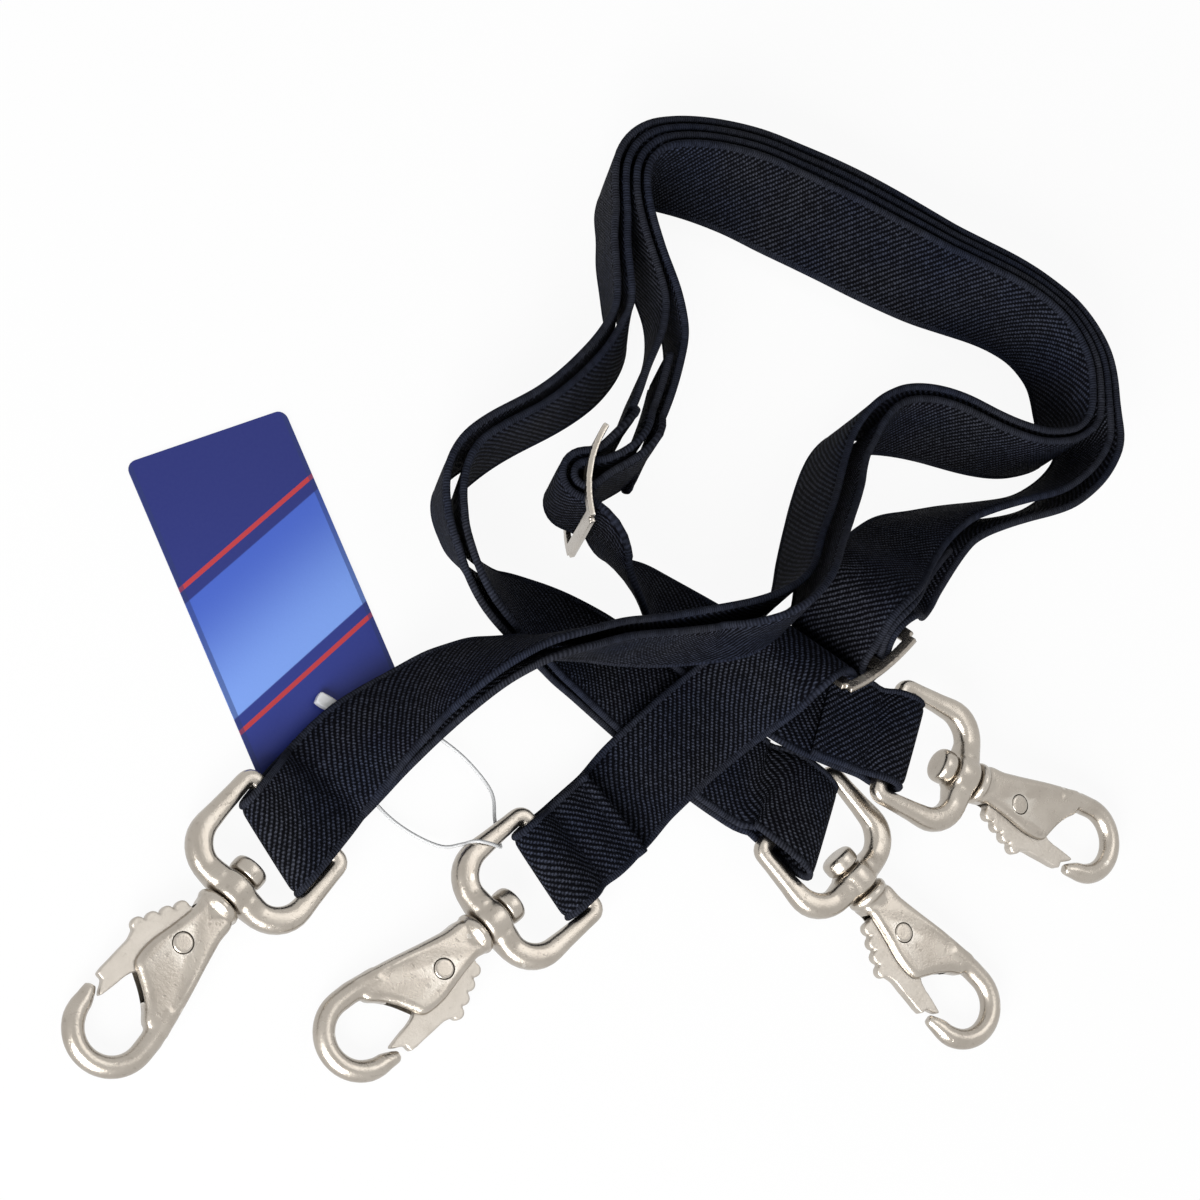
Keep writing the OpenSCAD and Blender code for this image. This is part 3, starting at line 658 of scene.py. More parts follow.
PAIR_GAP = LAYER + 0.2
pair_a, pair_c = rings(PAIR_A, 3), rings(PAIR_C, 3)
one_back, two_back = rings(L4), rings(R3, 3)
tail_one = beside(one_back[1:6], -PAIR_GAP)
tail_two = beside(two_back[-7:], -PAIR_GAP - 0.4)

strap_one_rings = [
    *bar_turn(strap_ends["d"], sewn_turn(2.3), -1), *flip(rings(STRAND_D)),
    *in_slider(slider_one, [*ONE_IN, *WRAP, [7.2, -1.1], [9.5, 0.8], [12.6, 2.9]]),
    *rings(L3), *far_strand(1), *rings(R2), *pair_a,
    *bar_turn(strap_ends["a"], open_turn(6.6), 1, 3.7),
    *flip(beside(pair_a, PAIR_GAP + 0.8)[1:]), *flip(rings(R1)), *flip(far_strand(0)),
    *flip(one_back),
    *in_slider(slider_one, [[10, 11.4], [6, 7.8], [2.2, 3.4], *LOOP, [4, -0.6], [6, 3.1],
                            [9.6, 7.2]]),
    *tail_one,
]
strap_two_rings = [
    *bar_turn(strap_ends["b"], sewn_turn(2.8), 1, 1.2), *rings(STRAND_B),
    *in_slider(slider_two, [*TWO_IN, *WRAP, [7, -1], [8.8, 1.2], [11, 2.3], [14.5, 2.4]]),
    *flip([*beside(pair_c, -PAIR_GAP - 0.4), *rings(L1), *far_strand(3), *rings(R4)]),
    *bar_turn(strap_ends["c"], open_turn(5.5), -1, 5.0),
    *pair_c, *rings(L2), *far_strand(2), *two_back,
    *in_slider(slider_two, [[12.5, 9.6], [8.5, 8.8], [5, 6.2], [1.8, 2.6], *LOOP, [4, -0.6],
                            [5.8, 3], [8.6, 5.1], [12.2, 5.9]]),
    *flip(tail_two),
]
print("rings:", len(strap_one_rings), len(strap_two_rings))

# %% [markdown]
# ## Straps
# The rings are resampled to an even step, and a cross-section with rolled selvages, grooves and a
# slightly crowned middle is swept along them. At the sewn ends the top layer is drawn down along
# its stitch lines and its turned-in edge is thicker, which makes the puffed hem of the photo.

# %% Cross-section and even steps
STEP = 1.4
SHORTEST = 0.5
HALF_PROFILE = [(-12.5, 0.0), (-12.42, 0.42), (-12.1, 0.8), (-11.6, 0.95), (-11.15, 0.78),
                (-10.85, 0.5), (-10.5, 0.66), (-10.0, 0.84), (-9.0, 0.92), (-5.0, 0.96),
                (0.0, 0.97)]
top_half = HALF_PROFILE + [(-x, z) for x, z in HALF_PROFILE[-2::-1]]
PROFILE = np.array(top_half + [(x, -z) for x, z in top_half[-2:0:-1]])
print("cross-section of", len(PROFILE), "points")


def softened(values):
    """Each row averaged with its neighbours, twice; the ends stay."""
    for _ in range(2):
        values[1:-1] = 0.25 * values[:-2] + 0.5 * values[1:-1] + 0.25 * values[2:]
    return values


def evenly(strand):
    """The strand as even steps: centres, width directions, skews and lengths along it."""
    p = np.array([ring[0] for ring in strand])
    u = np.array([ring[1] for ring in strand])
    skew = np.array([ring[2] if len(ring) > 2 else np.zeros(3) for ring in strand])
    keep = [0]
    for i in range(1, len(p)):
        if np.linalg.norm(p[i] - p[keep[-1]]) > SHORTEST:
            keep.append(i)
    p, u, skew = p[keep], u[keep], skew[keep]
    h = np.linalg.norm(np.diff(p, axis=0), axis=1)
    s = np.concatenate([[0], np.cumsum(h)])
    slope = np.gradient(p, s, axis=0)
    want = np.linspace(0, s[-1], int(s[-1] / STEP))
    i = np.clip(np.searchsorted(s, want) - 1, 0, len(h) - 1)
    t = ((want - s[i]) / h[i])[:, None]
    step = h[i][:, None]
    place = ((2 * t**3 - 3 * t**2 + 1) * p[i] + (t**3 - 2 * t**2 + t) * step * slope[i]
             + (3 * t**2 - 2 * t**3) * p[i + 1] + (t**3 - t**2) * step * slope[i + 1])
    place = softened(place)
    width = softened((1 - t) * u[i] + t * u[i + 1])
    lean = softened((1 - t) * skew[i] + t * skew[i + 1])
    along = np.concatenate([[0], np.cumsum(np.linalg.norm(np.diff(place, axis=0), axis=1))])
    return place, width, lean, along


def hill(s, at, spread):
    return np.exp(-(((s - at) / spread) ** 2))


# %% Strap meshes
ROWS = (3.0, 13.9)


def skin(rows, columns, closed=False, capped=True):
    """Faces over rings of points: quads between the rings, and an end face on each open end."""
    faces = []
    for i in range(rows if closed else rows - 1):
        here, there = i * columns, (i + 1) % rows * columns
        for j in range(columns):
            k = (j + 1) % columns
            faces.append((here + j, here + k, there + k, there + j))
    if capped and not closed:
        faces.append(tuple(range(columns))[::-1])
        faces.append(tuple((rows - 1) * columns + j for j in range(columns)))
    return faces


def add_mesh(name, points, faces, finish):
    mesh = bpy.data.meshes.new(name)
    mesh.from_pydata([tuple(p) for p in points], [], faces)
    mesh.materials.append(finish)
    mesh.polygons.foreach_set("use_smooth", [True] * len(mesh.polygons))
    mesh.update()
    piece = bpy.data.objects.new(name, mesh)
    scene.collection.objects.link(piece)
    return piece


def strap(name, node, strand):
    """Sweeps the webbing along a strand and returns its middle line and directions."""
    place, width, lean, s = evenly(strand)
    n, k = len(place), len(PROFILE)
    run = np.gradient(place, axis=0)
    run /= np.linalg.norm(run, axis=1)[:, None]
    face = np.cross(run, width)
    face /= np.linalg.norm(face, axis=1)[:, None]
    side = np.cross(face, run) + lean / HALF_W
    end_row, bar_row = ROWS
    pull = 0.35 * hill(s, end_row, 1.2) + 0.5 * hill(s, bar_row, 1.8) - 0.35 * hill(s, 8.6, 2.6)
    thick = (1 + 0.6 * hill(s, 0.6, 1.5) - 0.18 * hill(s, end_row, 1.0)
             - 0.16 * hill(s, bar_row, 1.5))
    narrow = 1 - 0.03 * hill(s, bar_row, 2.5) - 0.012 * hill(s, end_row, 1.5)
    down = -np.sign(face[0][2])
    place = place + (pull * down)[:, None] * face
    points = (place[:, None, :]
              + (PROFILE[:, 0][None, :] * narrow[:, None])[..., None] * side[:, None, :]
              + (PROFILE[:, 1][None, :] * thick[:, None])[..., None] * face[:, None, :])
    piece = add_mesh(name, metres(points.reshape(-1, 3)), skin(n, k), webbing)
    layer = piece.data.uv_layers.new(name="webbing")
    index = np.array([loop.vertex_index for loop in piece.data.loops])
    values = np.stack([PROFILE[index % k, 0], s[index // k]], axis=1)
    layer.data.foreach_set("uv", values.ravel())
    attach(piece, "straps")
    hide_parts(node)
    return place, side, face, run, s


line_one = strap("strap_one_webbing", "strap_one", strap_one_rings)
line_two = strap("strap_two_webbing", "strap_two", strap_two_rings)

# %% [markdown]
# ## Sewing
# Each sewn end is held by two rows of dark thread across the strap. A stitch is a small rounded
# bead that sinks into the webbing, so it is a squashed capsule, nine to a row, and all the stitches
# of a sewn end are one mesh.

# %% Stitches
STITCH_COUNT = 9
STITCH_EDGE = 2.0
STITCH_SPACE = (WIDTH - 2 * STITCH_EDGE) / STITCH_COUNT
STITCH_W, STITCH_H, STITCH_RISE = 0.6, 0.7, 0.72


def capsule(at, along, across, over, length, width, height, turns=8, rows=6):
    """Points and faces of one rounded stitch."""
    points = []
    for a in np.linspace(0, math.pi, rows + 1):
        for j in range(turns):
            b = 2 * math.pi * j / turns
            points.append(at - math.cos(a) * length / 2 * along
                          + abs(math.sin(a)) ** 0.6 * (math.cos(b) * width / 2 * across
                                                       + math.sin(b) * height / 2 * over))
    return points, skin(rows + 1, turns, capped=False)


def joined(shapes):
    """One list of points and one of faces for several shapes."""
    points, faces = [], []
    for p, f in shapes:
        faces += [tuple(i + len(points) for i in face) for face in f]
        points += list(p)
    return points, faces


def stitch_row(line, at, outward):
    """A row across the strap at a length along it, on the face that looks outward."""
    place, side, face, run, s = line
    i = int(np.argmin(abs(s - at)))
    over = face[i] * np.sign(np.dot(face[i], outward))
    row = []
    for j in range(STITCH_COUNT):
        x = -HALF_W + STITCH_EDGE + STITCH_SPACE * (j + 0.5)
        centre = place[i] + x * side[i] + STITCH_RISE * over
        row.append(capsule(centre, side[i], run[i], over, STITCH_SPACE * 0.84, STITCH_W, STITCH_H))
    return row


def nearest(line, point):
    return float(line[4][int(np.argmin(np.linalg.norm(line[0] - point, axis=1)))])


def sewing(name, node, line, rows):
    shapes = [shape for at, outward in rows for shape in stitch_row(line, at, outward)]
    points, faces = joined(shapes)
    piece = add_mesh(name, metres(np.array(points)), faces, sewing_thread)
    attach(piece, "straps")
    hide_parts(node)


one_face = face_of(one_back, 4)
two_face = face_of(two_back, len(two_back) - 7)
sewing("stitches_d_thread", "stitches_d", line_one, [(at, UP) for at in ROWS])
sewing("stitches_b_thread", "stitches_b", line_two, [(at, UP) for at in ROWS])
one_rows = [(nearest(line_one, one_back[i][0]), one_face) for i in (2, 6)]
two_rows = [(nearest(line_two, two_back[-i - 1][0]), two_face) for i in (5, 8)]
sewing("stitches_one_thread", "stitches_one", line_one, one_rows)
sewing("stitches_two_thread", "stitches_two", line_two, two_rows)
print("four sewn ends")

# %% [markdown]
# ## Casting a snap
# A cast part is a few simple masses that flow into one another. So each casting is drawn as
# overlapping closed shapes, merged on a fine grid with a remesh and smoothed a little, which rounds
# the inside corners like a mould does. Holes and slots that are machined afterwards are cut last,
# so they stay crisp. The snap is made once, in millimetres, and used four times.


# %% Tubes and turned shapes
def round_ring(sides):
    """Cosine and sine of each step round a ring."""
    angles = [2 * math.pi * j / sides for j in range(sides)]
    return [(math.cos(a), math.sin(a)) for a in angles]


def sweep(path, sizes, normal, closed=False, sides=20, power=2.0):
    """A tube along a flat path; sizes are (in plane, out of plane) half widths at each point."""
    p = np.array(path, float)
    n = len(p)
    ahead = np.roll(p, -1, axis=0) - np.roll(p, 1, axis=0)
    if not closed:
        ahead[0], ahead[-1] = p[1] - p[0], p[-1] - p[-2]
    points = []
    for here, way, (wide, high) in zip(p, ahead, sizes):
        side = unit(np.cross(normal, unit(way)))
        for pair in round_ring(sides):
            c, s = [math.copysign(abs(v) ** (2 / power), v) for v in pair]
            points.append(here + side * wide * c + normal * high * s)
    return points, skin(n, sides, closed)


def lathe(profile, sides=32):
    """A turned shape about x from (x, radius) pairs."""
    points = [np.array([x, radius * c, radius * s])
              for x, radius in profile for c, s in round_ring(sides)]
    return points, skin(len(profile), sides)


print("tube and lathe ready")


# %% Plates
def slab(outline, half, edge):
    """A flat outline made into a plate with eased edges, by insetting its top and bottom."""
    o = np.array(outline, float)
    ahead = np.roll(o, -1, axis=0) - np.roll(o, 1, axis=0)
    inward = np.stack([-ahead[:, 1], ahead[:, 0]], axis=1)
    inward /= np.linalg.norm(inward, axis=1)[:, None]
    if np.sum(o[:, 0] * np.roll(o[:, 1], -1) - o[:, 1] * np.roll(o[:, 0], -1)) < 0:
        inward = -inward
    levels = [(-half, edge), (-half + 0.3 * edge, 0.3 * edge), (-half + edge, 0.0),
              (half - edge, 0.0), (half - 0.3 * edge, 0.3 * edge), (half, edge)]
    n = len(o)
    points = [np.array([*(o[i] + inset * inward[i]), z]) for z, inset in levels for i in range(n)]
    return points, skin(len(levels), n)


def rounded(corners, n=4):
    """A closed outline through corner points as a smooth curve."""
    c = [np.array(p, float) for p in corners]
    out = []
    for i in range(len(c)):
        four = c[i - 1], c[i], c[(i + 1) % len(c)], c[(i + 2) % len(c)]
        out += [curve_point(*four, k / n) for k in range(n)]
    return out


print("plate and outline ready")


# %% Merging and placing
CREASE = math.radians(40)


def drawn(name, shape):
    """An object in millimetres from points and faces, for use in making a mesh."""
    mesh = bpy.data.meshes.new(name)
    mesh.from_pydata([tuple(p) for p in shape[0]], [], shape[1])
    made = bmesh.new()
    made.from_mesh(mesh)
    bmesh.ops.recalc_face_normals(made, faces=made.faces)
    made.to_mesh(mesh)
    made.free()
    piece = bpy.data.objects.new(name, mesh)
    scene.collection.objects.link(piece)
    return piece


def cast(name, shapes, grid, passes, cuts=(), keep=1.0):
    """Merges shapes on a grid, smooths them, cuts the machined places and returns a mesh."""
    piece = drawn(name, joined(shapes))
    merge = piece.modifiers.new("merge", "REMESH")
    merge.mode, merge.voxel_size = "VOXEL", grid
    soften = piece.modifiers.new("soften", "SMOOTH")
    soften.factor, soften.iterations = 0.5, passes
    tools = [drawn(name + "_tool", cut) for cut in cuts]
    for tool in tools:
        cut = piece.modifiers.new("cut", "BOOLEAN")
        cut.operation, cut.solver, cut.object = "DIFFERENCE", "EXACT", tool
    if keep < 1:
        thin = piece.modifiers.new("thin", "DECIMATE")
        thin.ratio = keep
    bpy.context.view_layer.update()
    graph = bpy.context.evaluated_depsgraph_get()
    mesh = bpy.data.meshes.new_from_object(piece.evaluated_get(graph))
    for spare in [piece, *tools]:
        data = spare.data
        bpy.data.objects.remove(spare)
        bpy.data.meshes.remove(data)
    print(name, len(mesh.polygons), "faces")
    return mesh


def place_copy(name, mesh, matrix, finish, body, nodes):
    """A copy of a mesh drawn in millimetres, placed by a matrix, riding on a body."""
    data = mesh.copy()
    data.name = name
    data.transform(matrix)
    data.materials.clear()
    data.materials.append(finish)
    data.polygons.foreach_set("use_smooth", [True] * len(data.polygons))
    piece = bpy.data.objects.new(name, data)
    scene.collection.objects.link(piece)
    data.set_sharp_from_angle(angle=CREASE)
    if body:
        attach(piece, body)
    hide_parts(*nodes)
    return piece


print("casting helpers ready")

# %% [markdown]
# ### The eye
# The strap's bar, two side arms and the front bar are one ring of wire-like casting. Its section
# grows from the bar to the front and swells round the bore that holds the hook's stem.

# %% Eye
ARM_Y = 15.1
EYE_LEN = 23.5
EYE_R = 8.0
BAR_CORNER = 1.8


def corner(cx, cy, radius, first, last, n=6):
    return [[cx + x, cy + y, 0] for x, y in arc(radius, first, last, n)]


ring = [[0, y, 0] for y in np.linspace(-12, 12, 9)]
ring += corner(BAR_CORNER, ARM_Y - BAR_CORNER, BAR_CORNER, 180, 90, 4)
ring += [[x, ARM_Y, 0] for x in (5, 8, 11.5)]
ring += corner(EYE_LEN - EYE_R, ARM_Y - EYE_R, EYE_R, 90, 0, 8)
ring += [[EYE_LEN, y, 0] for y in np.linspace(5, -5, 5)]
ring += corner(EYE_LEN - EYE_R, EYE_R - ARM_Y, EYE_R, 0, -90, 8)
ring += [[x, -ARM_Y, 0] for x in (11.5, 8, 5)]
ring += corner(BAR_CORNER, BAR_CORNER - ARM_Y, BAR_CORNER, -90, -180, 4)


def share(value, low, high):
    """0 at low, 1 at high, smooth between and steady outside."""
    f = min(1, max(0, (value - low) / (high - low)))
    return f * f * (3 - 2 * f)


arms = [share(x, 2, 14) for x, y, z in ring]
front = [share(x, 11, 21) for x, y, z in ring]
swell = [share(x, 16, 22) * share(-abs(y), -9, -3.5) for x, y, z in ring]
ring_sizes = [(BAR_R + 0.5 * a + 0.7 * f + 0.2 * w, BAR_R + 0.3 * a + 0.7 * f + 1.4 * w)
              for a, f, w in zip(arms, front, swell)]
boss = lathe([(20.0, 4.2), (20.3, 4.9), (21.0, 5.4), (22.5, 5.6), (24.5, 5.6), (26.0, 5.4),
              (26.7, 4.9), (27.0, 4.2)])
bore = lathe([(10.0, 3.05), (30.0, 3.05)])
ring_shape = sweep(ring, ring_sizes, UP, True, power=2.7)
eye_mesh = cast("eye", [ring_shape, boss], grid=0.42, passes=4, cuts=[bore], keep=0.6)

# %% [markdown]
# ### The hook
# A rivet head and stem run through the eye's bore, a collar bears on it, the flat-sided body
# carries the gate, and a round bow sweeps on from it to a tapered nose. The gate's slot is cut
# through afterwards, with the pin's hole.

# %% Hook
BODY_Z = 3.7
BOW_X = 66.5
BOW_R = 9.0
PIVOT = (41.5, -1.0)
X = np.array([1.0, 0.0, 0.0])
head = lathe([(15.4, 3.2), (15.6, 3.9), (16.1, 4.35), (16.7, 4.55), (18.8, 4.55), (19.4, 4.3),
              (19.6, 3.8)])
stem = lathe([(19.0, 2.8), (29.0, 2.8)])
collar = lathe([(27.4, 4.7), (27.7, 5.3), (28.3, 5.6), (29.0, 5.6), (29.6, 5.3), (30.0, 4.8)])
neck = lathe([(29.5, 4.4), (31.0, 4.1), (33.0, 3.6)])
BODY = [[29.5, -4.2], [32.5, -4.4], [36, -4.9], [40.5, -5.8], [45.5, -6.9], [50, -7], [52.5, -6.2],
        [54, -3.8], [56, -0.5], [58.5, 2.6], [61, 4.9], [61.5, 8], [60.5, 10.9], [57, 10.4],
        [50, 9], [41.5, 7], [35, 5.6], [29.5, 4.5]]
body_points, body_faces = slab(rounded(BODY), BODY_Z, 1.7)
body = [p * (1, 1, 1 - 0.26 * share(p[0], 45, 63)) for p in body_points], body_faces
bow_path = [[55, 7.3, 0], [59, 8.1, 0], [62.5, 8.8, 0]]
bow_path += [[BOW_X + x, y, 0] for x, y in arc(BOW_R, 90, -90, 22)]
bow_path += [[65.2, -9.3, 0], [63.8, -9.7, 0], [62.4, -10.1, 0]]
bow_sizes = [(3.0, 3.3), (2.85, 3.0), (2.75, 2.8)]
bow_sizes += [(2.7, 2.7)] * 20 + [(2.6, 2.6), (2.5, 2.5), (2.4, 2.4)]
bow_sizes += [(2.1, 2.2), (1.75, 1.9), (1.3, 1.4)]
bow = sweep(bow_path, bow_sizes, UP)


def block(low, high):
    (a, b, c), (d, e, f) = low, high
    outline = [(a, b), (d, b), (d, e), (a, e)]
    points = [np.array([x, y, z]) for z in (c, f) for x, y in outline]
    faces = [(3, 2, 1, 0), (4, 5, 6, 7)]
    faces += [(i, (i + 1) % 4, (i + 1) % 4 + 4, i + 4) for i in range(4)]
    return points, faces


slot_cut = block((32.0, -15.0, -1.95), (57.5, 4.0, 1.95))
pin_hole = sweep([[*PIVOT, -6], [*PIVOT, 6]], [(2.7, 2.7)] * 2, X, sides=32)
hook_mesh = cast("hook", [head, stem, collar, neck, body, bow], grid=0.42, passes=5,
                 cuts=[slot_cut, pin_hole], keep=0.6)

# %% [markdown]
# ### Gate and pin
# The gate is a flat rough-cast lever with a ribbed thumb tab; it turns on a rivet that is ground
# flush with the body.

# %% Gate and pin
GX = PIVOT[0]
GATE = [[GX - 4.2, 1.6], [GX - 7, -1.6], [GX - 8.4, -4.2], [GX - 7.6, -5.8], [GX - 5.4, -6.6],
        [GX - 4.4, -8], [GX - 2.4, -8.4], [GX - 1.2, -9.8], [GX + 0.9, -10.2], [GX + 2.2, -11.4],
        [GX + 4.2, -11.7], [GX + 6, -11.2], [GX + 7.6, -10.8], [GX + 10, -10.9], [GX + 14, -11],
        [GX + 18.2, -11], [GX + 18.5, -9.2], [GX + 20.4, -8.2], [GX + 21.6, -7.4],
        [GX + 21.2, -6.8], [GX + 17, -6], [GX + 13, -5.2], [GX + 8.5, -2], [GX + 3.5, 2.2], [GX, 3]]
tabs = [sweep([[GX - 6.6 + 3.3 * i, -6.2 - 1.7 * i, z] for z in (-1.5, -1.2, 1.2, 1.5)],
              [(1.4, 1.4), (1.8, 1.8), (1.8, 1.8), (1.4, 1.4)], X, sides=16) for i in range(4)]
gate_plate = slab(rounded(GATE, 2), 1.6, 0.35)
gate_mesh = cast("gate", [gate_plate, *tabs], grid=0.3, passes=2, keep=0.6)
PIN = [(-3.75, 2.1), (-3.6, 2.4), (-3.3, 2.55), (3.3, 2.55), (3.6, 2.4), (3.75, 2.1)]
pin_shape = sweep([[*PIVOT, z] for z, _ in PIN], [(r, r) for _, r in PIN], X, sides=32)
pin_mesh = cast("pin", [pin_shape], grid=0.3, passes=1, keep=0.6)

# %% Dress the four snaps
metal = {"eye": eye_mesh, "hook": hook_mesh, "gate": gate_mesh, "pin": pin_mesh}
riders = {"eye": "eye", "hook": "hook", "gate": "gate", "pin": "hook"}
TURNED_OVER = "b"
for key, own in snaps.items():
    upright, turned = own.matrix(), own.matrix(key == TURNED_OVER)
    for part, mesh in metal.items():
        place_copy(f"snap_{key}_{part}_casting", mesh, upright if part == "eye" else turned,
                   rough_cast if part == "gate" else nickel, f"snap_{key}_{riders[part]}",
                   [f"{part}_{key}"])
print("four snaps dressed")

# %% [markdown]
# ### Gate springs
# A bent leaf of spring steel sits in each slot behind the gate, nearly out of sight. One arm stays
# in the hook and the gate pushes the other. The leaf rides on no body; its place is baked in.

# %% Springs
BEND = [GX + 4.6, 3.32, 0]
TIP = [GX + 9.2, -1.4, 0]
leaf_line = [[GX + x, 3.6, 0] for x in (9.9, 8.4, 6.9, 5.4)]
leaf_line += [list(p) for p in np.linspace(BEND, TIP, 8)]
leaf_shape = sweep(leaf_line, [(0.2, 1.2)] * len(leaf_line), UP, power=6.0)
leaf_mesh = cast("leaf", [leaf_shape], grid=0.13, passes=1, keep=0.3)
for key, own in snaps.items():
    turned = own.matrix(key == TURNED_OVER)
    leaf = place_copy(f"spring_{key}_leaf", leaf_mesh, turned, spring_steel, None,
                      [f"spring_{key}"])
    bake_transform(leaf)
print("springs finished")

# %% [markdown]
# ## Sliders
# A slider is a stamped plate with two slots and three bars, bowed so that the strap bites. Its
# bars and sides are five flat strips, each bent over the same cylinder; the grid merge that the
# castings use joins them and rounds the stamped edges.

# %% Sliders
SLIDER_L, SLIDER_W, SLOT_W = 27.0, 32.0, 26.5
END_BAR = 3.5
BOW_RADIUS = ((SLIDER_L / 2) ** 2 + SLIDER_BOW**2) / (2 * SLIDER_BOW)


def bowed(x, y, z):
    """A flat plate point bent about the slider's width; the middle is lowest."""
    a = x / BOW_RADIUS
    r = BOW_RADIUS - z
    return np.array([r * math.sin(a), y, BOW_RADIUS - SLIDER_BOW - r * math.cos(a)])


def strip(x0, x1, y0, y1, steps):
    """One straight strip of the plate, bent with it."""
    half = SLIDER_T / 2
    around = [(y0, -half), (y1, -half), (y1, half), (y0, half)]
    points = [bowed(x, y, z) for x in np.linspace(x0, x1, steps + 1) for y, z in around]
    return points, skin(steps + 1, 4)


half_l, half_w = SLIDER_L / 2, SLIDER_W / 2
print("slider bow radius", round(BOW_RADIUS, 2))
strips = [strip(-half_l, -half_l + END_BAR, -half_w + 2, half_w - 2, 3),
          strip(half_l - END_BAR, half_l, -half_w + 2, half_w - 2, 3),
          strip(-MID_BAR / 2, MID_BAR / 2, -half_w + 1, half_w - 1, 4),
          strip(-half_l + 1.2, half_l - 1.2, -half_w, -SLOT_W / 2, 16),
          strip(-half_l + 1.2, half_l - 1.2, SLOT_W / 2, half_w, 16)]
slider_mesh = cast("slider", strips, grid=0.26, passes=3, keep=0.5)
for key, own in (("one", slider_one), ("two", slider_two)):
    place_copy(f"slider_{key}_plate", slider_mesh, own.matrix(), nickel, "straps",
               [f"slider_{key}"])

# %% [markdown]
# ## Hang tag and its loop
# A printed card lies on the table under the strap, held to the snap by a thin plastic loop with a
# lock. The card's print is a plain pattern of its own: a deep blue ground, a paler slanted band and
# thin red lines. The plastic is clear in life. So thin a thread looks pale grey against white, and
# an opaque pale finish shows that in any light.

# %% Card and plastic finishes
card_print, r = new_recipe("printed_card")
across, along, _ = r.parts(r.node("ShaderNodeUVMap", {"uv_map": "card"}))
fibre = r.noise(r.node("ShaderNodeCombineXYZ", None, {0: across, 1: along}), 1.2, 3.0)
slant = along + across * 0.35
band = slant.rise(-16.2, -15.8) * (1 - slant.rise(13.8, 14.2))
glow = slant.rise(-16, 14)
ground = r.mix(along.rise(-45, 45), (0.008, 0.014, 0.13), (0.014, 0.026, 0.2))
paler = r.mix(glow, (0.045, 0.1, 0.46), (0.17, 0.3, 0.72))
print_colour = r.mix(band, ground, paler)
for at in (-19.5, 17.5):
    line = slant.rise(at - 0.7, at - 0.5) * (1 - slant.rise(at + 0.5, at + 0.7))
    print_colour = r.mix(line, print_colour, (0.42, 0.03, 0.035))
border = abs(across).rise(20.6, 20.8)
print_colour = r.mix(border * 0.6, print_colour, (0.01, 0.02, 0.1))
surface(
    r,
    Base_Color=r.mix(fibre * 0.05, print_colour, (0.2, 0.25, 0.4)),
    Roughness=0.42 + fibre * 0.12,
    Specular_IOR_Level=0.25,
    Normal=r.bump(fibre, 0.02 * MM),
)

clear_plastic = streaked("clear_plastic", 400.0, (0.56, 0.57, 0.58), (0.7, 0.71, 0.72), (0.3, 0.42))
filament = streaked("filament", 300.0, (0.33, 0.335, 0.34), (0.45, 0.455, 0.46), (0.32, 0.42))
print("card and plastic finishes")

# %% [markdown]
# ### The card
# The card is a thin plate with rounded corners and a punched hole. Filling the flat outline with
# its hole in one go, and then giving it thickness, keeps the hole clean without a cut.

# %% Hang tag
TAG_L, TAG_W, TAG_T = 90.0, 44.0, 0.4
TAG_CORNER = 2.5
TAG_HEADING = -67.5
TAG_MID = np.array([-85.9, -6.4, 0.02])
tag = Frame(TAG_MID, flat_way(TAG_HEADING), left_of(TAG_HEADING), UP)
HOLE_X, HOLE_R = TAG_L / 2 - 6, 1.5


def tag_outline(n=6):
    out = []
    for cx, cy, first in ((1, 1, 0), (-1, 1, 90), (-1, -1, 180), (1, -1, 270)):
        middle = cx * (TAG_L / 2 - TAG_CORNER), cy * (TAG_W / 2 - TAG_CORNER)
        out += about(middle, TAG_CORNER, first, first + 90, n)
    return out


outlines = [tag_outline(), about((HOLE_X, 0), HOLE_R, 0, 360 - 15, 23)]
flat = [(*p, 0.0) for outline in outlines for p in outline]
walls = []
for outline in outlines:
    first = len(walls)
    walls += [(first + i, first + (i + 1) % len(outline)) for i in range(len(outline))]
fill = bmesh.new()
verts = [fill.verts.new(p) for p in flat]
edges = [fill.edges.new((verts[a], verts[b])) for a, b in walls]
bmesh.ops.triangle_fill(fill, use_beauty=True, edges=edges)
fill.verts.index_update()
faces = [tuple(v.index for v in face.verts) for face in fill.faces]
fill.free()
n = len(flat)
faces += [tuple(i + n for i in face) for face in faces]
faces += [(a, b, b + n, a + n) for a, b in walls]
card = drawn("card", (flat + [(x, y, TAG_T) for x, y, _ in flat], faces))
card_mesh = card.data
bpy.data.objects.remove(card)
layer = card_mesh.uv_layers.new(name="card")
for loop in card_mesh.loops:
    x, y, _ = card_mesh.vertices[loop.vertex_index].co
    layer.data[loop.index].uv = (y, x)
place_copy("hang_tag_card", card_mesh, tag.matrix(), card_print, "straps", ["hang_tag"])
print("hang tag", len(card_mesh.polygons), "faces")

# %% [markdown]
# ### Loop and lock
# The loop leaves the lock, goes round the side arm of snap B's eye and comes back to the lock. It
# is one thin round tube along a smooth line. It rides on no body; its place is baked into the mesh.

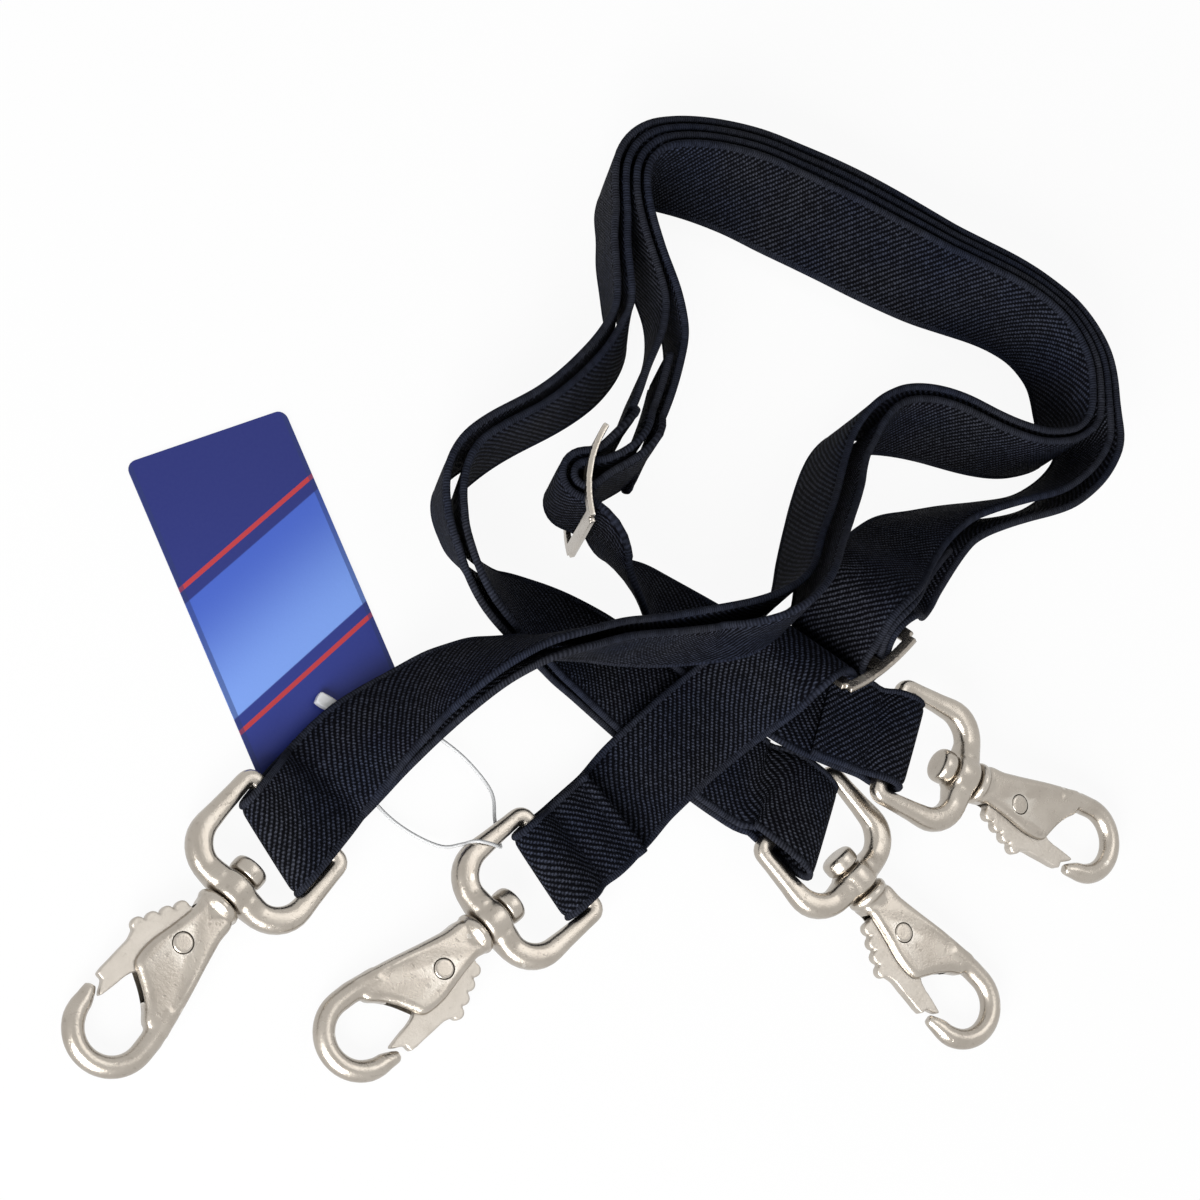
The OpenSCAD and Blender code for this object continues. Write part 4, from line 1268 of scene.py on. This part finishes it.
# %% Tag loop
LOOP_D = 0.9
B = snaps["b"]
loop_way = [[-72.2, -32, 1.7], [-70.5, -36, 1.4], [-69, -42, 1.1], [-66, -50, 1.1],
            [-61, -56.5, 1.3], [-54.5, -61.5, 2], [-47.5, -64.8, 3.4]]
loop_way += [B.point(*p) for p in (
    (17, -18.5, -0.6), (15, -17.4, 2.4), (13, -15.2, 3.2), (11, -12.9, 2), (9.6, -12, -0.4),
    (8.2, -12.9, -2.6), (6.8, -15.2, -3.4), (5, -18, -3.4))]
loop_way += [[-33.5, -51, 3], [-38.5, -44, 2.4], [-44.5, -38.8, 1.9], [-51, -35, 1.5],
             [-58, -32.6, 1.1], [-65, -31, 1.1], [-71.6, -30.4, 1.7]]
loop_line = np.array(smooth(loop_way, 6))


def tube(line, radius, sides=12):
    """A round tube whose ring directions are carried along the line, so it does not twist."""
    ahead = np.gradient(line, axis=0)
    ahead /= np.linalg.norm(ahead, axis=1)[:, None]
    side = unit(np.cross(ahead[0], UP))
    points = []
    for here, way in zip(line, ahead):
        side = unit(side - np.dot(side, way) * way)
        other = np.cross(way, side)
        points += [here + radius * (c * side + s * other) for c, s in round_ring(sides)]
    return points, skin(len(line), sides)


points, faces = tube(loop_line, LOOP_D / 2)
tag_loop = add_mesh("tag_loop_filament", metres(np.array(points)), faces, filament)
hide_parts("tag_loop")
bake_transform(tag_loop)

# %% Lock
lock_frame = Frame.headed([-75, -30, 0.46], -28, 0)
lock_outline = [(-2.6, -0.9), (-1.9, -1.6), (1.6, -1.6), (2.6, -1.1), (2.6, 1.1), (1.6, 1.6),
                (-1.9, 1.6), (-2.6, 0.9)]
LOCK_HALF = 1.1
lock_points, lock_faces = slab(rounded(lock_outline, 3), LOCK_HALF, 0.35)
lock_shape = [p + LOCK_HALF * UP for p in lock_points], lock_faces
lock_mesh = cast("lock", [lock_shape], grid=0.16, passes=1, keep=0.6)
place_copy("tag_lock_head", lock_mesh, lock_frame.matrix(), clear_plastic, "straps", ["tag_lock"])
